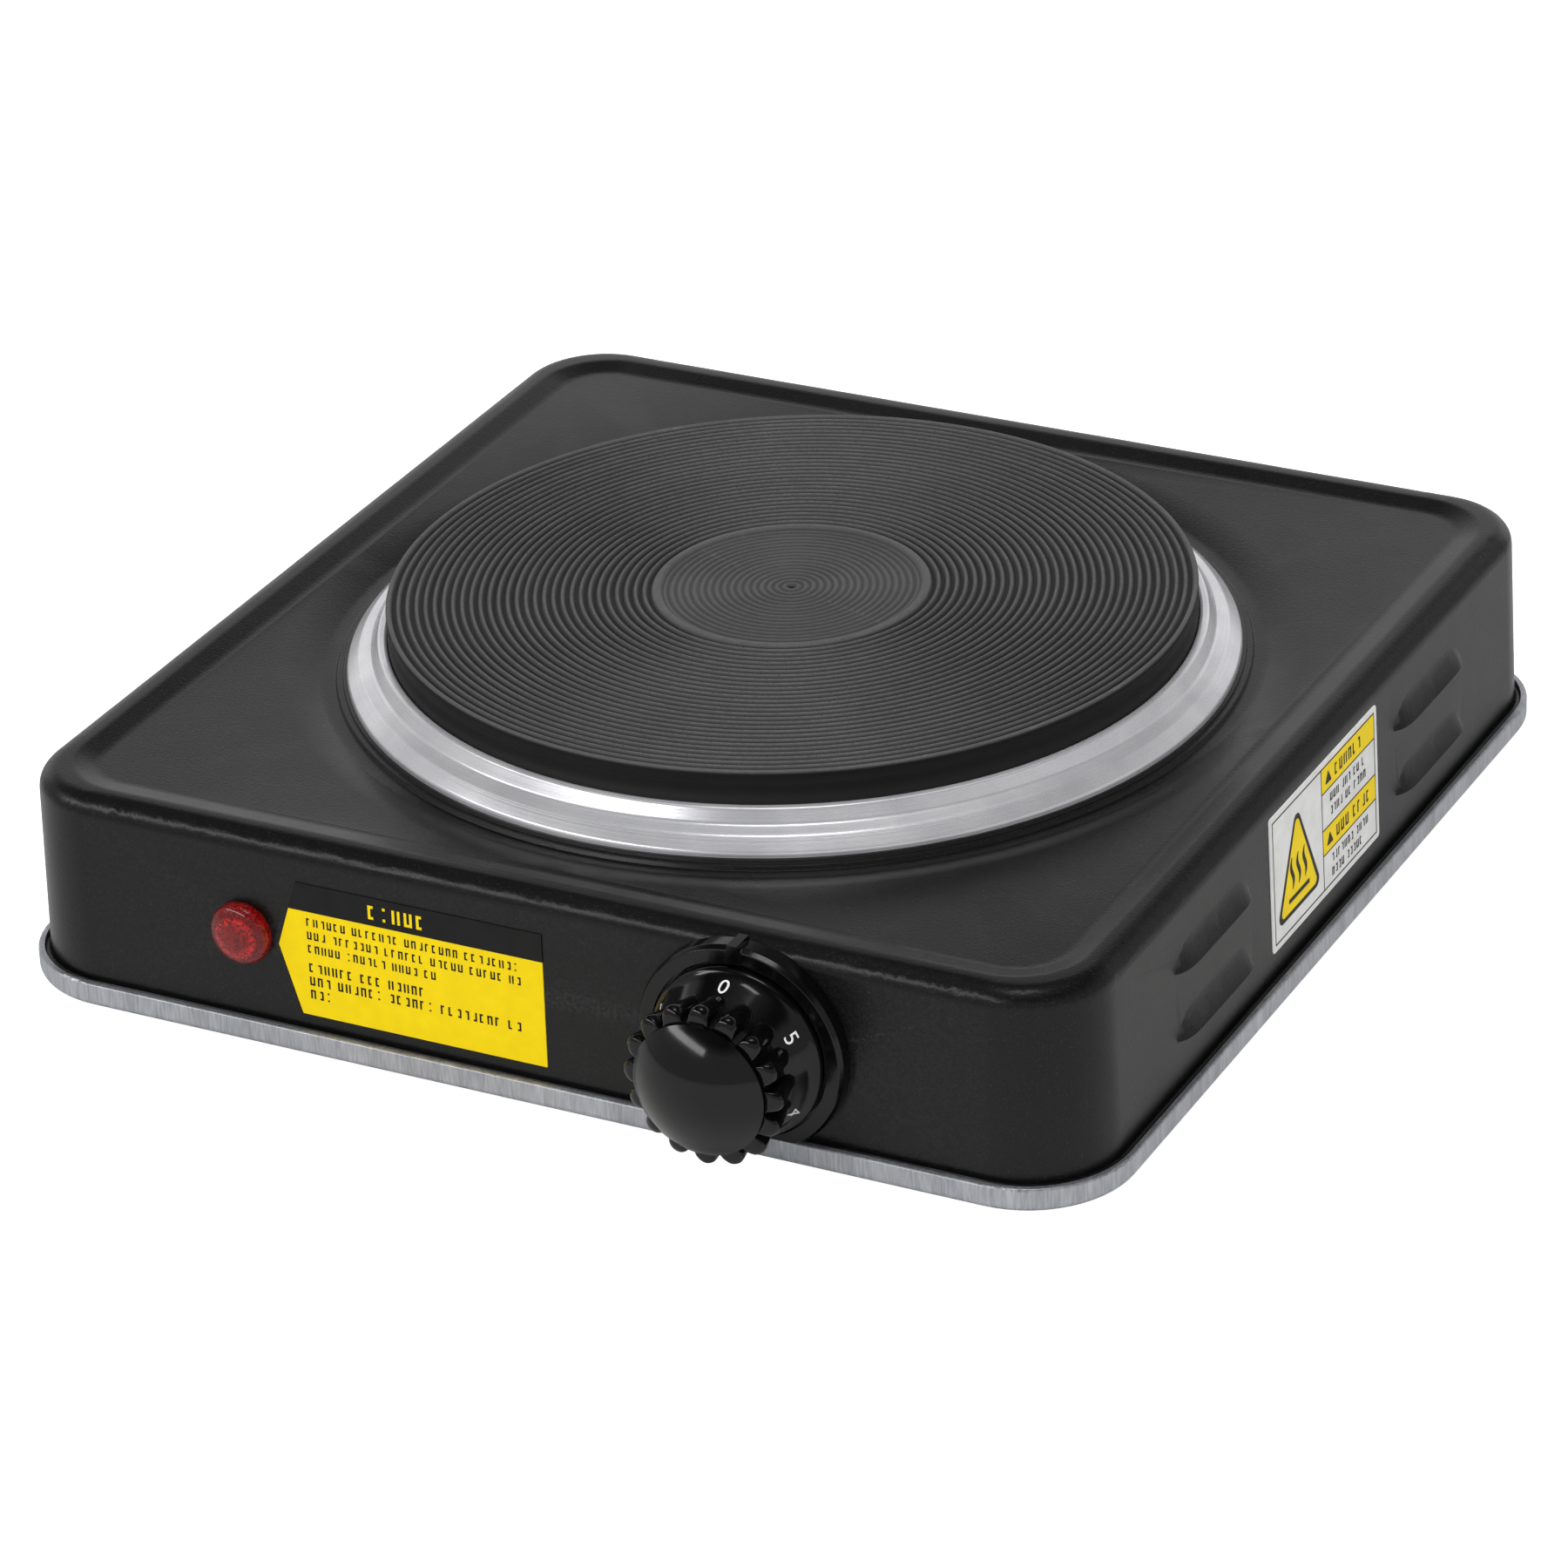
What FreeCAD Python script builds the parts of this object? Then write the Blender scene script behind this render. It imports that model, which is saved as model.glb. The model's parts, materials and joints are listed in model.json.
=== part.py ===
import FreeCAD, Part
import math
import os

V = FreeCAD.Vector

# Single hot plate burner. The model is laid out about the plate's own vertical axis,
# with z = 0 on the table, -Y to the front and +X to the right. All sizes are millimetres.

# ---- overall sizes ----
plate_diameter = 155.0      # cast-iron cooking plate
surround = 31.8             # plate edge to housing side at the top edge
body_height = 42.4          # housing's top border above the base pan's underside
foot_height = 6.0           # base pan's underside above the table
plate_rise = 11.9           # cooking surface above the housing's border

# ---- housing (pressed steel shell) ----
sheet = 0.8                 # housing sheet thickness
side_draft = 1.1            # how much further out each side stands at the bottom
body_corner_r = 17.0        # vertical corner radius at the top edge
top_edge_r = 4.0            # rounding between the sides and the top border
border_width = 5.6          # top border, side to the recess
step_run = 4.3              # sloping step down to the recessed panel, across
step_drop = 1.0             # and down
step_upper_r = 5.0
step_lower_r = 8.0
recess_corner_r = 14.0      # recess corner radius at its upper edge
collar_land = 4.2           # flat seat for the spill ring round the plate opening
collar_step = 0.9           # ledge outside the seat
collar_wall = 0.5           # run of the collar's outer wall
collar_drop = 1.4           # seat above the lowest point of the dished panel
ledge_drop = 0.6            # seat above the ledge
collar_bevel = 0.3
collar_gap = 0.9            # spill ring's edge to the collar's seat edge
collar_flat = 2.3           # level strip between the collar's wall and the dish
collar_under_top = 1.2      # where the underside bends, inside the seat's edge
collar_under_foot = 1.0     # and inside the collar's foot
dish_drop = 1.8             # recessed panel above the lowest point of the dish
dish_run = 7.4              # width of the dished part
flare_height = 3.5          # skirt's out-turned foot, above the pan floor
flare_fillet = 0.6

# ---- base pan ----
pan_floor = 0.7
rim_wall = 1.2              # hemmed rim, doubled sheet
rim_height = 5.0
rim_stand_off = 2.3         # rim beyond the foot of the housing's sides
rim_bottom_r = 1.8
rim_top_r = 0.5
rim_gap = 0.3               # between the rim and the housing's flared foot
vent_length = 34.0
vent_width = 4.0
vent_pitch = 10.0
vent_rows = 5

# ---- louvres in the housing's sides ----
louvre_length = 34.5
louvre_height = 6.0         # lip to where the hood runs out into the wall
louvre_depth = 1.9          # lip in front of the wall
louvre_slot = 0.3           # wall cut away below the lip
louvre_taper = 2.5          # shortening of the hood at its top, each end
louvre_pitch = 13.7         # upper to lower
louvre_drop = 1.4           # middle of a pair's lips below the row of fittings
louvre_from_side = 58.2     # centre of a pair from the housing's front or back face
hood_root = 0.6             # hood's ends start this deep in the wall
hood_blend = 0.03           # hood's top edge below the wall's surface
hood_layers = 5
hood_points = 24
hood_squareness = 8         # power of the hood's plan curve, higher is squarer

# ---- cooking plate ----
groove_pitch = 1.74
groove_depth = 0.35
groove_first_r = 27.2
disc_recess_r = 24.5        # smooth middle
disc_recess_depth = 0.5
disc_recess_slope = 0.4
plate_edge_r = 0.5
plate_chamfer = 0.7         # at the casting's foot, clear of the ring's bend
plate_body = 14.0           # depth of the casting
plate_skin = 7.0            # iron above the coil cavity
plate_skirt = 11.5          # width of the outer skirt round the coil cavity
boss_r = 15.0

# ---- spill ring ----
ring_sheet = 0.6
ring_gap = 0.12             # between the casting and the ring's inner leg
ring_lip = 4.6              # in-turned flange under the casting
ring_width = 8.3            # plate edge to the ring's outer edge
ring_crown = 6.4            # cooking surface above the top of the ring
ring_flat = 1.7             # level top, then the profile's corners as (out from the leg, below the top)
ring_step = (3.3, 2.7)
ring_shoulder = (5.6, 3.6)
ring_foot_lean = 0.1
ring_foot_rise = 1.4
ring_bends = [0.3, 0.75, 0.75, 1.6, 2.0, 1.3]
ring_under_bends = [0.9, 0.15, 0.15, 2.2, 1.4, 0.7]

# ---- heating element ----
coil_wire = 3.6
coil_first_r = 25.0
coil_pitch = 12.0
coil_half_turns = 6
coil_lead_bend = 4.0
channel_gap = 0.3
insulation_gap = 0.2
cover_sheet = 0.8
bush_r = 4.0
bush_bore_gap = 0.1
bush_length = 9.0
pin_drop = 13.0             # cold pin below the back cover
cover_edge_gap = 1.0
cover_edge_r = 0.3
lead_channel_end = 0.5      # channel past the middle line, over each lead
bush_flange = 1.4
bush_flange_sheet = 1.6
bush_top_gap = 0.3
sleeve_height = 4.0         # crimped sleeve on the pin's end
sleeve_wall = 0.9
sleeve_overhang = 1.0
blade_root = 1.0
blade_reach = 2.0

# ---- central fixing ----
stud_r = 3.0
stud_grip = 7.0             # stud screwed into the casting
stud_length = 18.0
clearance_hole = 0.3
bar_width = 20.0
bar_sheet = 1.5
nut_flats = 10.0
cover_nut_height = 2.0
stud_nut_height = 5.0
washer_r = 6.5
washer_sheet = 1.2
stud_chamfer = 0.5
bar_end_gap = 1.4           # bar's ends inside the collar's wall
bar_pad = 0.4
bar_ramp = 7.0
bar_inner_bend = 1.5
bar_outer_bend = 3.0
nut_bevel = 2.5
nut_bevel_start = 0.1

# ---- control: bezel, knob, thermostat ----
fittings_above_middle = 1.0 # knob, lamp and louvres above the middle of the sides
knob_from_side = 63.8       # knob axis from the housing's right side
bezel_r = 20.4
bezel_inner_r = 17.4
bezel_depth = 3.5
bezel_floor = 1.5
bezel_rim_gap = 0.3         # between the bezel's trimmed foot and the base pan's rim
bezel_root = 1.5            # how far the bezel's blank starts behind the wall's face
bezel_edge = 0.6
bezel_edge_depth = 1.0
index_reach = 0.9           # index mark beyond the bezel's edge
index_narrowing = 0.6
index_gap = 0.3
index_width = 3.2
index_rise = 0.8
skirt_r = 16.9
skirt_gap = 0.6             # knob's back to the bezel floor
marks_cone_start = 5.2      # distances in front of the housing
marks_cone_end = 10.0
waist_r = 12.9
cap_r = 12.9
cap_start = 19.0
dome_rise = 5.4
rib_count = 16
rib_r = 2.0
rib_front_r = 15.9
rib_back_r = 13.9
rib_back_gap = 0.8          # rib's rear end behind the cone's small end
rib_front_gap = 0.4
skirt_edge = 1.2            # rounded edge between skirt and cone
cone_inset = 0.9
waist_run = 3.0
knob_wall = 1.8
cap_wall = 1.5
hollow_step = 0.4
hub_set_back = 1.0
hub_r = 5.2
shaft_r = 3.0
shaft_fit = 0.05            # running clearance in the thermostat bush
shaft_flat = 0.8            # depth of the D flat
shaft_front_gap = 3.0       # shaft's front end behind the cap's edge
groove_offset = 2.4         # shaft groove behind the knob's cone
groove_width = 0.9
groove_cut = 0.6
shaft_ring_sheet = 0.7
shaft_ring_grip = 0.55
shaft_ring_wall = 1.3
shaft_ring_gap = 3.2
clip_offset = 1.0
clip_wall = 0.9
clip_length = 5.0
clip_fit = 0.05
clip_gap = 3.0
shaft_behind = 9.6          # shaft's inner end behind the housing's face
screw_r = 1.5
screw_head_r = 2.7
screw_head_height = 1.5
screw_spread = 12.2
screw_grip = 1.6            # screw's end inside the frame
slot_half = 0.35            # screwdriver slots
slot_depth = 0.7
frame_plate = 1.4
frame_height = 22.0
frame_bush_r = 4.6
frame_bush_length = 5.0
frame_left = 7.0
frame_right = 4.5
frame_bush_front = 1.0
stack_offset = 20.0         # stack axis to shaft axis
stack_r = 5.0
stack_base = 7.6
stack_ring = 3.0
leaf_sheet = 0.5
bimetal_sheet = 0.9
leaf_width = 6.3
contact_r = 2.0
contact_height = 1.2
tab_width = 6.3
tab_sheet = 0.8
tab_length = 9.0
tab_offset = 4.0            # the two tabs' centres above and below the stack axis
leaf_past_axis = 8.0
strip_past_axis = 12.0
leaf_hole_r = 2.2
stack_rivet_r = 1.5
rivet_head_r = 3.2
rivet_head = 1.2
rivet_end_gap = 0.4
contact_offset = 4.5
tab_root = 2.0

# ---- pilot lamp ----
lamp_from_side = 50.7       # from the housing's left side
lens_r = 6.1
lens_flange = 1.2
lens_rise = 2.6
lens_barrel_r = 4.0
lens_barrel = 7.0
lens_wall = 0.8
hole_fit = 0.1
bulb_r = 2.2
bulb_length = 9.0
lamp_clip_r = 7.0
lamp_body_length = 12.0
lens_root = 1.0
lamp_clip_depth = 1.2
lamp_clip_slit_r = 0.5
lamp_clip_slit = 1.6
lamp_body_wall = 1.2
lamp_body_gap = 2.6         # holder behind the housing's wall
lamp_body_base = 1.4
lamp_lead_spread = 1.6
lead_fit = 0.05
bulb_start = 0.8

# ---- labels ----
label_sheet = 0.2
front_label_size = (51.2, 27.0)
front_label_gap = 11.8      # lamp centre to the label's square end
front_label_point = 4.3
front_label_drop = 1.0      # label's middle below the lamp and knob
side_label_size = (50.8, 27.8)
side_label_rise = 1.7       # label's middle above the row of fittings
label_corner_r = 0.8
rating_label_size = (60.0, 30.0)
rating_label_y = -57.0

# ---- feet and base fixings ----
foot_inset = 26.0
foot_r = 8.0
foot_top_r = 9.0
foot_recess_r = 4.6
foot_web = 2.4              # rubber under the screw head's seat
foot_edge_r = 0.8
bracket_width = 22.0
bracket_sheet = 1.5
bracket_rise = 12.0
bracket_reach = 4.0         # bracket beyond the screw's head
foot_screw_r = 2.0
foot_screw_head_r = 4.0
foot_screw_head_height = 1.8
foot_screw_length = 9.0
foot_screw_edge_r = 0.6
cross_half = 2.2            # cross recess in the foot screws

# ---- mains inlet ----
gland_from_side = 54.0      # from the housing's left side
gland_height = 13.0         # above the base pan's underside
gland_flange_r = 7.0
gland_flange = 3.0
gland_body_r = 5.5
gland_bore_r = 3.2
gland_inner = 8.0
gland_inner_flange = 2.6
gland_edge_r = 0.8
block_size = (30.0, 18.0, 13.0)
block_from_back = 40.0
block_ways = 3
block_bore_r = 2.3
block_screw_r = 2.2
block_edge_r = 1.0
block_way_height = 7.0      # wire ways above the base pan
block_tube_r = 3.0
block_tube_fit = 0.1
block_tube_inset = 1.5
terminal_offset = 4.5       # terminal screws in front of and behind the block's middle
terminal_tip_r = 1.2
terminal_tip = 3.4
terminal_overlap = 0.2
terminal_top_gap = 0.8
terminal_well = 0.3
block_screw_top = 4.0
earth_beside_block = 28.0
earth_before_block = 29.0
earth_head = 1.6
earth_edge_r = 0.5
earth_shank = 8.0
earth_nut_flats = 7.0
earth_nut_height = 3.0
earth_tag = 0.8
earth_wire_height = 2.0
earth_eye_r = 4.2
earth_neck_half = 2.2
earth_neck = 9.0
earth_barrel_r = 1.9
earth_barrel = (7.0, 12.0)
earth_barrel_floor = 8.0
wire_r = 1.3
lead_r = 0.8
receptacle_size = (8.0, 7.2, 2.6)
receptacle_past_tip = 2.0
receptacle_barrel = 4.0
receptacle_wall = 0.5
receptacle_fit = 0.05
wire_grip = 3.0

# ---- sizes that follow ----
plate_r = plate_diameter / 2
half_top = plate_r + surround
half_foot = half_top + side_draft
half_rim = half_foot + rim_stand_off
foot_half = half_rim - rim_wall - rim_gap
z_pan = foot_height
z_floor = z_pan + pan_floor
z_rim = z_pan + rim_height
foot_top = z_floor + flare_height
z_border = z_pan + body_height
z_panel = z_border - step_drop
z_dish = z_panel - dish_drop
z_land = z_dish + collar_drop
z_ledge = z_land - ledge_drop
z_plate = z_border + plate_rise
z_casting = z_plate - plate_body
z_ring = z_plate - ring_crown
ring_r = plate_r + ring_width
row_height = z_pan + body_height / 2 + fittings_above_middle
knob_x = half_top - knob_from_side
lamp_x = lamp_from_side - half_top
collar_r = ring_r + collar_gap
dish_r = collar_r + collar_step + collar_wall + collar_flat + dish_run
opening_r = collar_r - collar_land


def half_width(z):
    """Distance from the plate's axis to the housing's outer face at height z."""
    return half_foot - side_draft * (z - z_pan) / body_height


face_y = half_width(row_height)
knob_reach = face_y + cap_start + dome_rise
gland_x = gland_from_side - half_top
gland_z = z_pan + gland_height
gland_reach = half_width(gland_z) + gland_flange
body_y = (knob_reach - gland_reach) / 2


# ---- helpers ----
def rounded_outline(half_x, half_y, r, z):
    """Closed wire: a rectangle with rounded corners, level at z."""
    edges = []
    corners = [(1, 1), (-1, 1), (-1, -1), (1, -1)]
    starts = [0, 90, 180, 270]
    arcs = []
    for (sx, sy), start in zip(corners, starts):
        centre = V(sx * (half_x - r), sy * (half_y - r), z)
        points = []
        for angle in (start, start + 45, start + 90):
            a = math.radians(angle)
            points.append(centre + V(r * math.cos(a), r * math.sin(a), 0))
        arcs.append(points)
    for i, points in enumerate(arcs):
        edges.append(Part.Arc(*points).toShape())
        edges.append(Part.LineSegment(points[2], arcs[(i + 1) % 4][0]).toShape())
    return Part.Wire(edges)


def stacked(sections):
    """Solid with straight sides through rounded outlines given as (half width, corner radius, height)."""
    wires = [rounded_outline(h, h, r, z) for h, r, z in sections]
    return Part.makeLoft(wires, True, True)


def block(x0, x1, y0, y1, z0, z1):
    return Part.makeBox(x1 - x0, y1 - y0, z1 - z0, V(x0, y0, z0))


def rod(r, start, end):
    """Cylinder between two points."""
    axis = end - start
    return Part.makeCylinder(r, axis.Length, start, axis)


def hexagon(flats, start, height):
    """Upright six-sided prism."""
    r = flats / math.sqrt(3)
    points = []
    for i in range(7):
        a = math.radians(60 * i)
        points.append(start + V(r * math.cos(a), r * math.sin(a), 0))
    return Part.Face(Part.makePolygon(points)).extrude(V(0, 0, height))


def level_edges(shape, z, inside=None):
    """Edges that lie level at height z, and inside a half width if one is given."""
    found = []
    for edge in shape.Edges:
        level = all(abs(v.Z - z) < 1e-4 for v in edge.Vertexes)
        box = edge.BoundBox
        reach = max(abs(box.XMin), abs(box.XMax), abs(box.YMin), abs(box.YMax))
        if level and (inside is None or reach < inside):
            found.append(edge)
    return found


def soft_path(points, radii):
    """Edges of a line through the points, each inner corner rounded to its radius (0 leaves it sharp)."""
    edges = []
    here = points[0]
    for before, corner, after, r in zip(points, points[1:], points[2:], radii):
        back = (before - corner).normalize()
        on = (after - corner).normalize()
        half = back.getAngle(on) / 2
        if r <= 0:
            edges.append(Part.LineSegment(here, corner).toShape())
            here = corner
            continue
        reach = r / math.tan(half)
        start = corner + back * reach
        end = corner + on * reach
        centre = corner + (back + on).normalize() * (r / math.sin(half))
        middle = centre + (corner - centre).normalize() * r
        if (start - here).Length > 1e-6:
            edges.append(Part.LineSegment(here, start).toShape())
        edges.append(Part.Arc(start, middle, end).toShape())
        here = end
    edges.append(Part.LineSegment(here, points[-1]).toShape())
    return edges


def turned(upper, upper_radii, lower, lower_radii):
    """Solid of revolution about the plate's axis from two (radius, height) lines that run the same way."""
    top = [V(r, 0, z) for r, z in upper]
    bottom = [V(r, 0, z) for r, z in reversed(lower)]
    edges = soft_path(top, upper_radii)
    edges.append(Part.LineSegment(top[-1], bottom[0]).toShape())
    edges += soft_path(bottom, list(reversed(lower_radii)))
    edges.append(Part.LineSegment(bottom[-1], top[0]).toShape())
    return Part.Face(Part.Wire(edges)).revolve(V(0, 0, 0), V(0, 0, 1), 360)


def offset_line(points, t):
    """The same (radius, height) line moved t to its right-hand side."""
    normals = []
    for (r0, z0), (r1, z1) in zip(points, points[1:]):
        length = math.hypot(r1 - r0, z1 - z0)
        normals.append(((z1 - z0) / length, (r0 - r1) / length))
    moved = [(points[0][0] + normals[0][0] * t, points[0][1] + normals[0][1] * t)]
    for (r, z), a, b in zip(points[1:], normals, normals[1:]):
        share = t / (1 + a[0] * b[0] + a[1] * b[1])
        moved.append((r + (a[0] + b[0]) * share, z + (a[1] + b[1]) * share))
    last = normals[-1]
    moved.append((points[-1][0] + last[0] * t, points[-1][1] + last[1] * t))
    return moved


def tube(points, r):
    """Round wire along straight runs joined by tangent arcs, as large as the runs allow."""
    points = [V(*p) for p in points]
    radii = []
    for before, corner, after in zip(points, points[1:], points[2:]):
        back = before - corner
        on = after - corner
        turn = math.pi - back.getAngle(on)
        shorter = min(back.Length, on.Length)
        radii.append(0.45 * shorter / math.tan(turn / 2))
    path = Part.Wire(soft_path(points, radii))
    along = points[1] - points[0]
    ring = Part.Wire(Part.makeCircle(r, points[0], along))
    return path.makePipeShell([ring], True, False)


def save(name, shape):
    """Write one piece, placed so that the whole object stands centred on the origin."""
    placed = shape.copy()
    placed.translate(V(0, body_y, 0))
    solids = placed.Solids
    if len(solids) == 1:
        placed = solids[0]
    placed.exportStep("parts/" + name + ".step")
    state = "ok" if placed.isValid() else "NOT VALID"
    print(name, len(solids), round(placed.Volume, 1), state)


# ---- housing ----
def outer_form(grow=0.0):
    """Solid with the housing's outer shape, grown by a thickness on the sides only."""
    low = z_floor
    form = stacked([
        (half_width(low) + grow, body_corner_r + side_draft, low),
        (half_top + grow, body_corner_r, z_border),
    ])
    return form


def collar():
    """Dished and turned part of the top round the plate opening."""
    wall_r = collar_r + collar_step
    wall_foot_r = wall_r + collar_wall
    dish_in = dish_r - dish_run
    upper = [
        (opening_r, z_land),
        (collar_r - collar_bevel, z_land),
        (collar_r, z_ledge),
        (wall_r, z_ledge),
        (wall_foot_r, z_dish),
        (dish_in, z_dish),
        (dish_r, z_panel),
    ]
    lower = [
        (opening_r, z_land - sheet),
        (collar_r - collar_under_top, z_land - sheet),
        (wall_foot_r - collar_under_foot, z_dish - sheet),
        (dish_in, z_dish - sheet),
        (dish_r, z_panel - sheet),
    ]
    return turned(upper, [0.25, 0.15, 0.2, 0.3, 6.0], lower, [0, 0, 0])


def hood_form(lip, low, surface, root, shorter):
    """Solid of a hood against the wall at y = 0, from height low to the hood's top.

    surface is the wall face it grows from, measured in from the outside, and root its depth there.
    """
    wires = []
    for layer in range(hood_layers + 1):
        share = layer / hood_layers
        z = low + (lip + louvre_height - low) * share
        bulge = louvre_depth * (1 - share) ** 2 - hood_blend * share
        half = louvre_length / 2 - louvre_taper * share ** 2 - shorter
        back = half_width(z) - surface - root
        points = []
        for i in range(hood_points + 1):
            along = -math.cos(math.pi * i / hood_points)
            rise = 1 - abs(along) ** hood_squareness
            points.append(V(back + (root + bulge) * rise, half * along, z))
        curve = Part.BSplineCurve()
        curve.interpolate(points)
        closing = Part.LineSegment(points[-1], points[0])
        wires.append(Part.Wire([curve.toShape(), closing.toShape()]))
    return Part.makeLoft(wires, True, False)


def louvre_places():
    """(side, y, lip height) of each louvre."""
    middle = row_height - louvre_drop
    for side in (-1, 1):
        for along in (-1, 1):
            y = along * (half_top - louvre_from_side)
            for up in (-0.5, 0.5):
                yield side, y, middle + up * louvre_pitch


def louvred(shell):
    """The shell with hoods pressed outwards over slots that open downwards."""
    for side, y, lip in louvre_places():
        hood = hood_form(lip, lip, 0.0, hood_root, 0.0)
        hollow = hood_form(lip, lip - louvre_slot, sheet, sheet, hood_root)
        if side < 0:
            hood = hood.mirror(V(0, 0, 0), V(1, 0, 0))
            hollow = hollow.mirror(V(0, 0, 0), V(1, 0, 0))
        hood.translate(V(0, y, 0))
        hollow.translate(V(0, y, 0))
        shell = shell.fuse(hood).cut(hollow)
    return shell


def closed_outer():
    """The housing's outside as a solid: rounded top edge and flared foot, without the recess."""
    outer = outer_form()
    outer = outer.makeFillet(top_edge_r, level_edges(outer, z_border))
    foot = stacked([
        (foot_half, body_corner_r + side_draft + sheet, z_floor),
        (foot_half, body_corner_r + side_draft + sheet, foot_top),
    ])
    outer = outer.fuse(foot).removeSplitter()
    return outer.makeFillet(flare_fillet, level_edges(outer, foot_top, foot_half - 0.1))


def build_housing(outer, inner):
    recess_half = half_top - border_width
    recess = stacked([
        (recess_half - step_run, recess_corner_r - step_run, z_panel),
        (recess_half, recess_corner_r, z_border),
    ])
    outer = outer.cut(recess)
    outer = outer.makeFillet(step_upper_r, level_edges(outer, z_border, recess_half + 0.01))
    outer = outer.makeFillet(step_lower_r, level_edges(outer, z_panel))
    foot_inner = foot_half - sheet
    hollow = stacked([
        (foot_inner, body_corner_r + side_draft, z_floor - 1),
        (foot_inner, body_corner_r + side_draft, foot_top - sheet),
    ])
    shell = outer.cut(inner).cut(hollow)
    middle = Part.makeCylinder(dish_r, body_height, V(0, 0, z_pan + body_height / 2))
    shell = shell.cut(middle).fuse(collar())
    shell = louvred(shell)
    for tool in wall_holes():
        shell = shell.cut(tool)
    return shell.removeSplitter()


def inner_form():
    """The space inside the housing, up to the underside of its top."""
    low = z_floor - 1
    form = stacked([
        (half_width(low) - sheet, body_corner_r + side_draft - sheet, low),
        (half_top - sheet, body_corner_r - sheet, z_border - sheet),
    ])
    form = form.makeFillet(top_edge_r - sheet, level_edges(form, z_border - sheet))
    recess_half = half_top - border_width
    under_panel = stacked([
        (recess_half - step_run, recess_corner_r - step_run, z_panel - sheet),
        (recess_half, recess_corner_r, z_border - sheet),
    ])
    return form.cut(under_panel)


def wall_holes():
    """Holes in the front and back walls for what is fitted through them."""
    knob_axis = V(knob_x, -face_y, row_height)
    thick = V(0, 3 * sheet, 0)
    holes = [rod(frame_bush_r + clearance_hole, knob_axis - thick, knob_axis + thick)]
    for side in (-1, 1):
        at = knob_axis + V(side * screw_spread, 0, 0)
        holes.append(rod(screw_r + hole_fit, at - thick, at + thick))
    lamp = V(lamp_x, -face_y, row_height)
    holes.append(rod(lens_barrel_r + hole_fit, lamp - thick, lamp + thick))
    gland = V(gland_x, half_width(gland_z), gland_z)
    holes.append(rod(gland_body_r, gland - thick, gland + thick))
    return holes


# ---- base pan, feet and brackets ----
def foot_places():
    for sx in (-1, 1):
        for sy in (-1, 1):
            yield sx, sy, sx * (half_rim - foot_inset), sy * (half_rim - foot_inset)


block_y = half_top - block_from_back
block_screw_x = gland_x - block_size[0] / block_ways / 2
earth_x = gland_x - earth_beside_block
earth_y = block_y - earth_before_block
pan_corner_r = body_corner_r + side_draft + rim_stand_off


def build_pan():
    tray = stacked([(half_rim, pan_corner_r, z_pan), (half_rim, pan_corner_r, z_pan + rim_height)])
    tray = tray.makeFillet(rim_bottom_r, level_edges(tray, z_pan))
    tray = tray.makeFillet(rim_top_r, level_edges(tray, z_pan + rim_height))
    inside = half_rim - rim_wall
    inside_r = pan_corner_r - rim_wall
    tray = tray.cut(stacked([(inside, inside_r, z_floor), (inside, inside_r, z_border)]))
    for sx, sy, x, y in foot_places():
        tray = tray.cut(rod(foot_screw_r + hole_fit, V(x, y, z_pan - 1), V(x, y, z_floor + 1)))
    for x, y, r in ((earth_x, earth_y, foot_screw_r), (block_screw_x, block_y, screw_r)):
        tray = tray.cut(rod(r + hole_fit, V(x, y, z_pan - 1), V(x, y, z_floor + 1)))
    end = vent_length / 2 - vent_width / 2
    for column in (-1, 1):
        for i in range(vent_rows):
            x = column * (end + vent_pitch)
            y = (i - (vent_rows - 1) / 2) * vent_pitch
            slot = block(x - end, x + end, y - vent_width / 2, y + vent_width / 2, z_pan - 1, z_floor + 1)
            for sx in (-end, end):
                slot = slot.fuse(rod(vent_width / 2, V(x + sx, y, z_pan - 1), V(x + sx, y, z_floor + 1)))
            tray = tray.cut(slot)
    return tray


def build_feet():
    feet = []
    for sx, sy, x, y in foot_places():
        foot = Part.makeCone(foot_r, foot_top_r, foot_height, V(x, y, 0))
        foot = foot.makeFillet(foot_edge_r, level_edges(foot, 0))
        seat = foot_height - foot_web
        foot = foot.cut(rod(foot_recess_r, V(x, y, -1), V(x, y, seat)))
        feet.append(foot.cut(rod(foot_screw_r + hole_fit, V(x, y, 0), V(x, y, foot_height + 1))))
    return feet


def build_foot_screws():
    screws = []
    for sx, sy, x, y in foot_places():
        seat = foot_height - foot_web
        low = seat - foot_screw_head_height
        head = Part.makeCylinder(foot_screw_head_r, foot_screw_head_height, V(x, y, low))
        head = head.makeFillet(foot_screw_edge_r, level_edges(head, low))
        shank = rod(foot_screw_r, V(x, y, seat), V(x, y, seat + foot_screw_length))
        screw = head.fuse(shank)
        for a, b in ((cross_half, slot_half), (slot_half, cross_half)):
            screw = screw.cut(block(x - a, x + a, y - b, y + b, low - 1, low + slot_depth))
        screws.append(screw.removeSplitter())
    return Part.makeCompound(screws)


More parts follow.
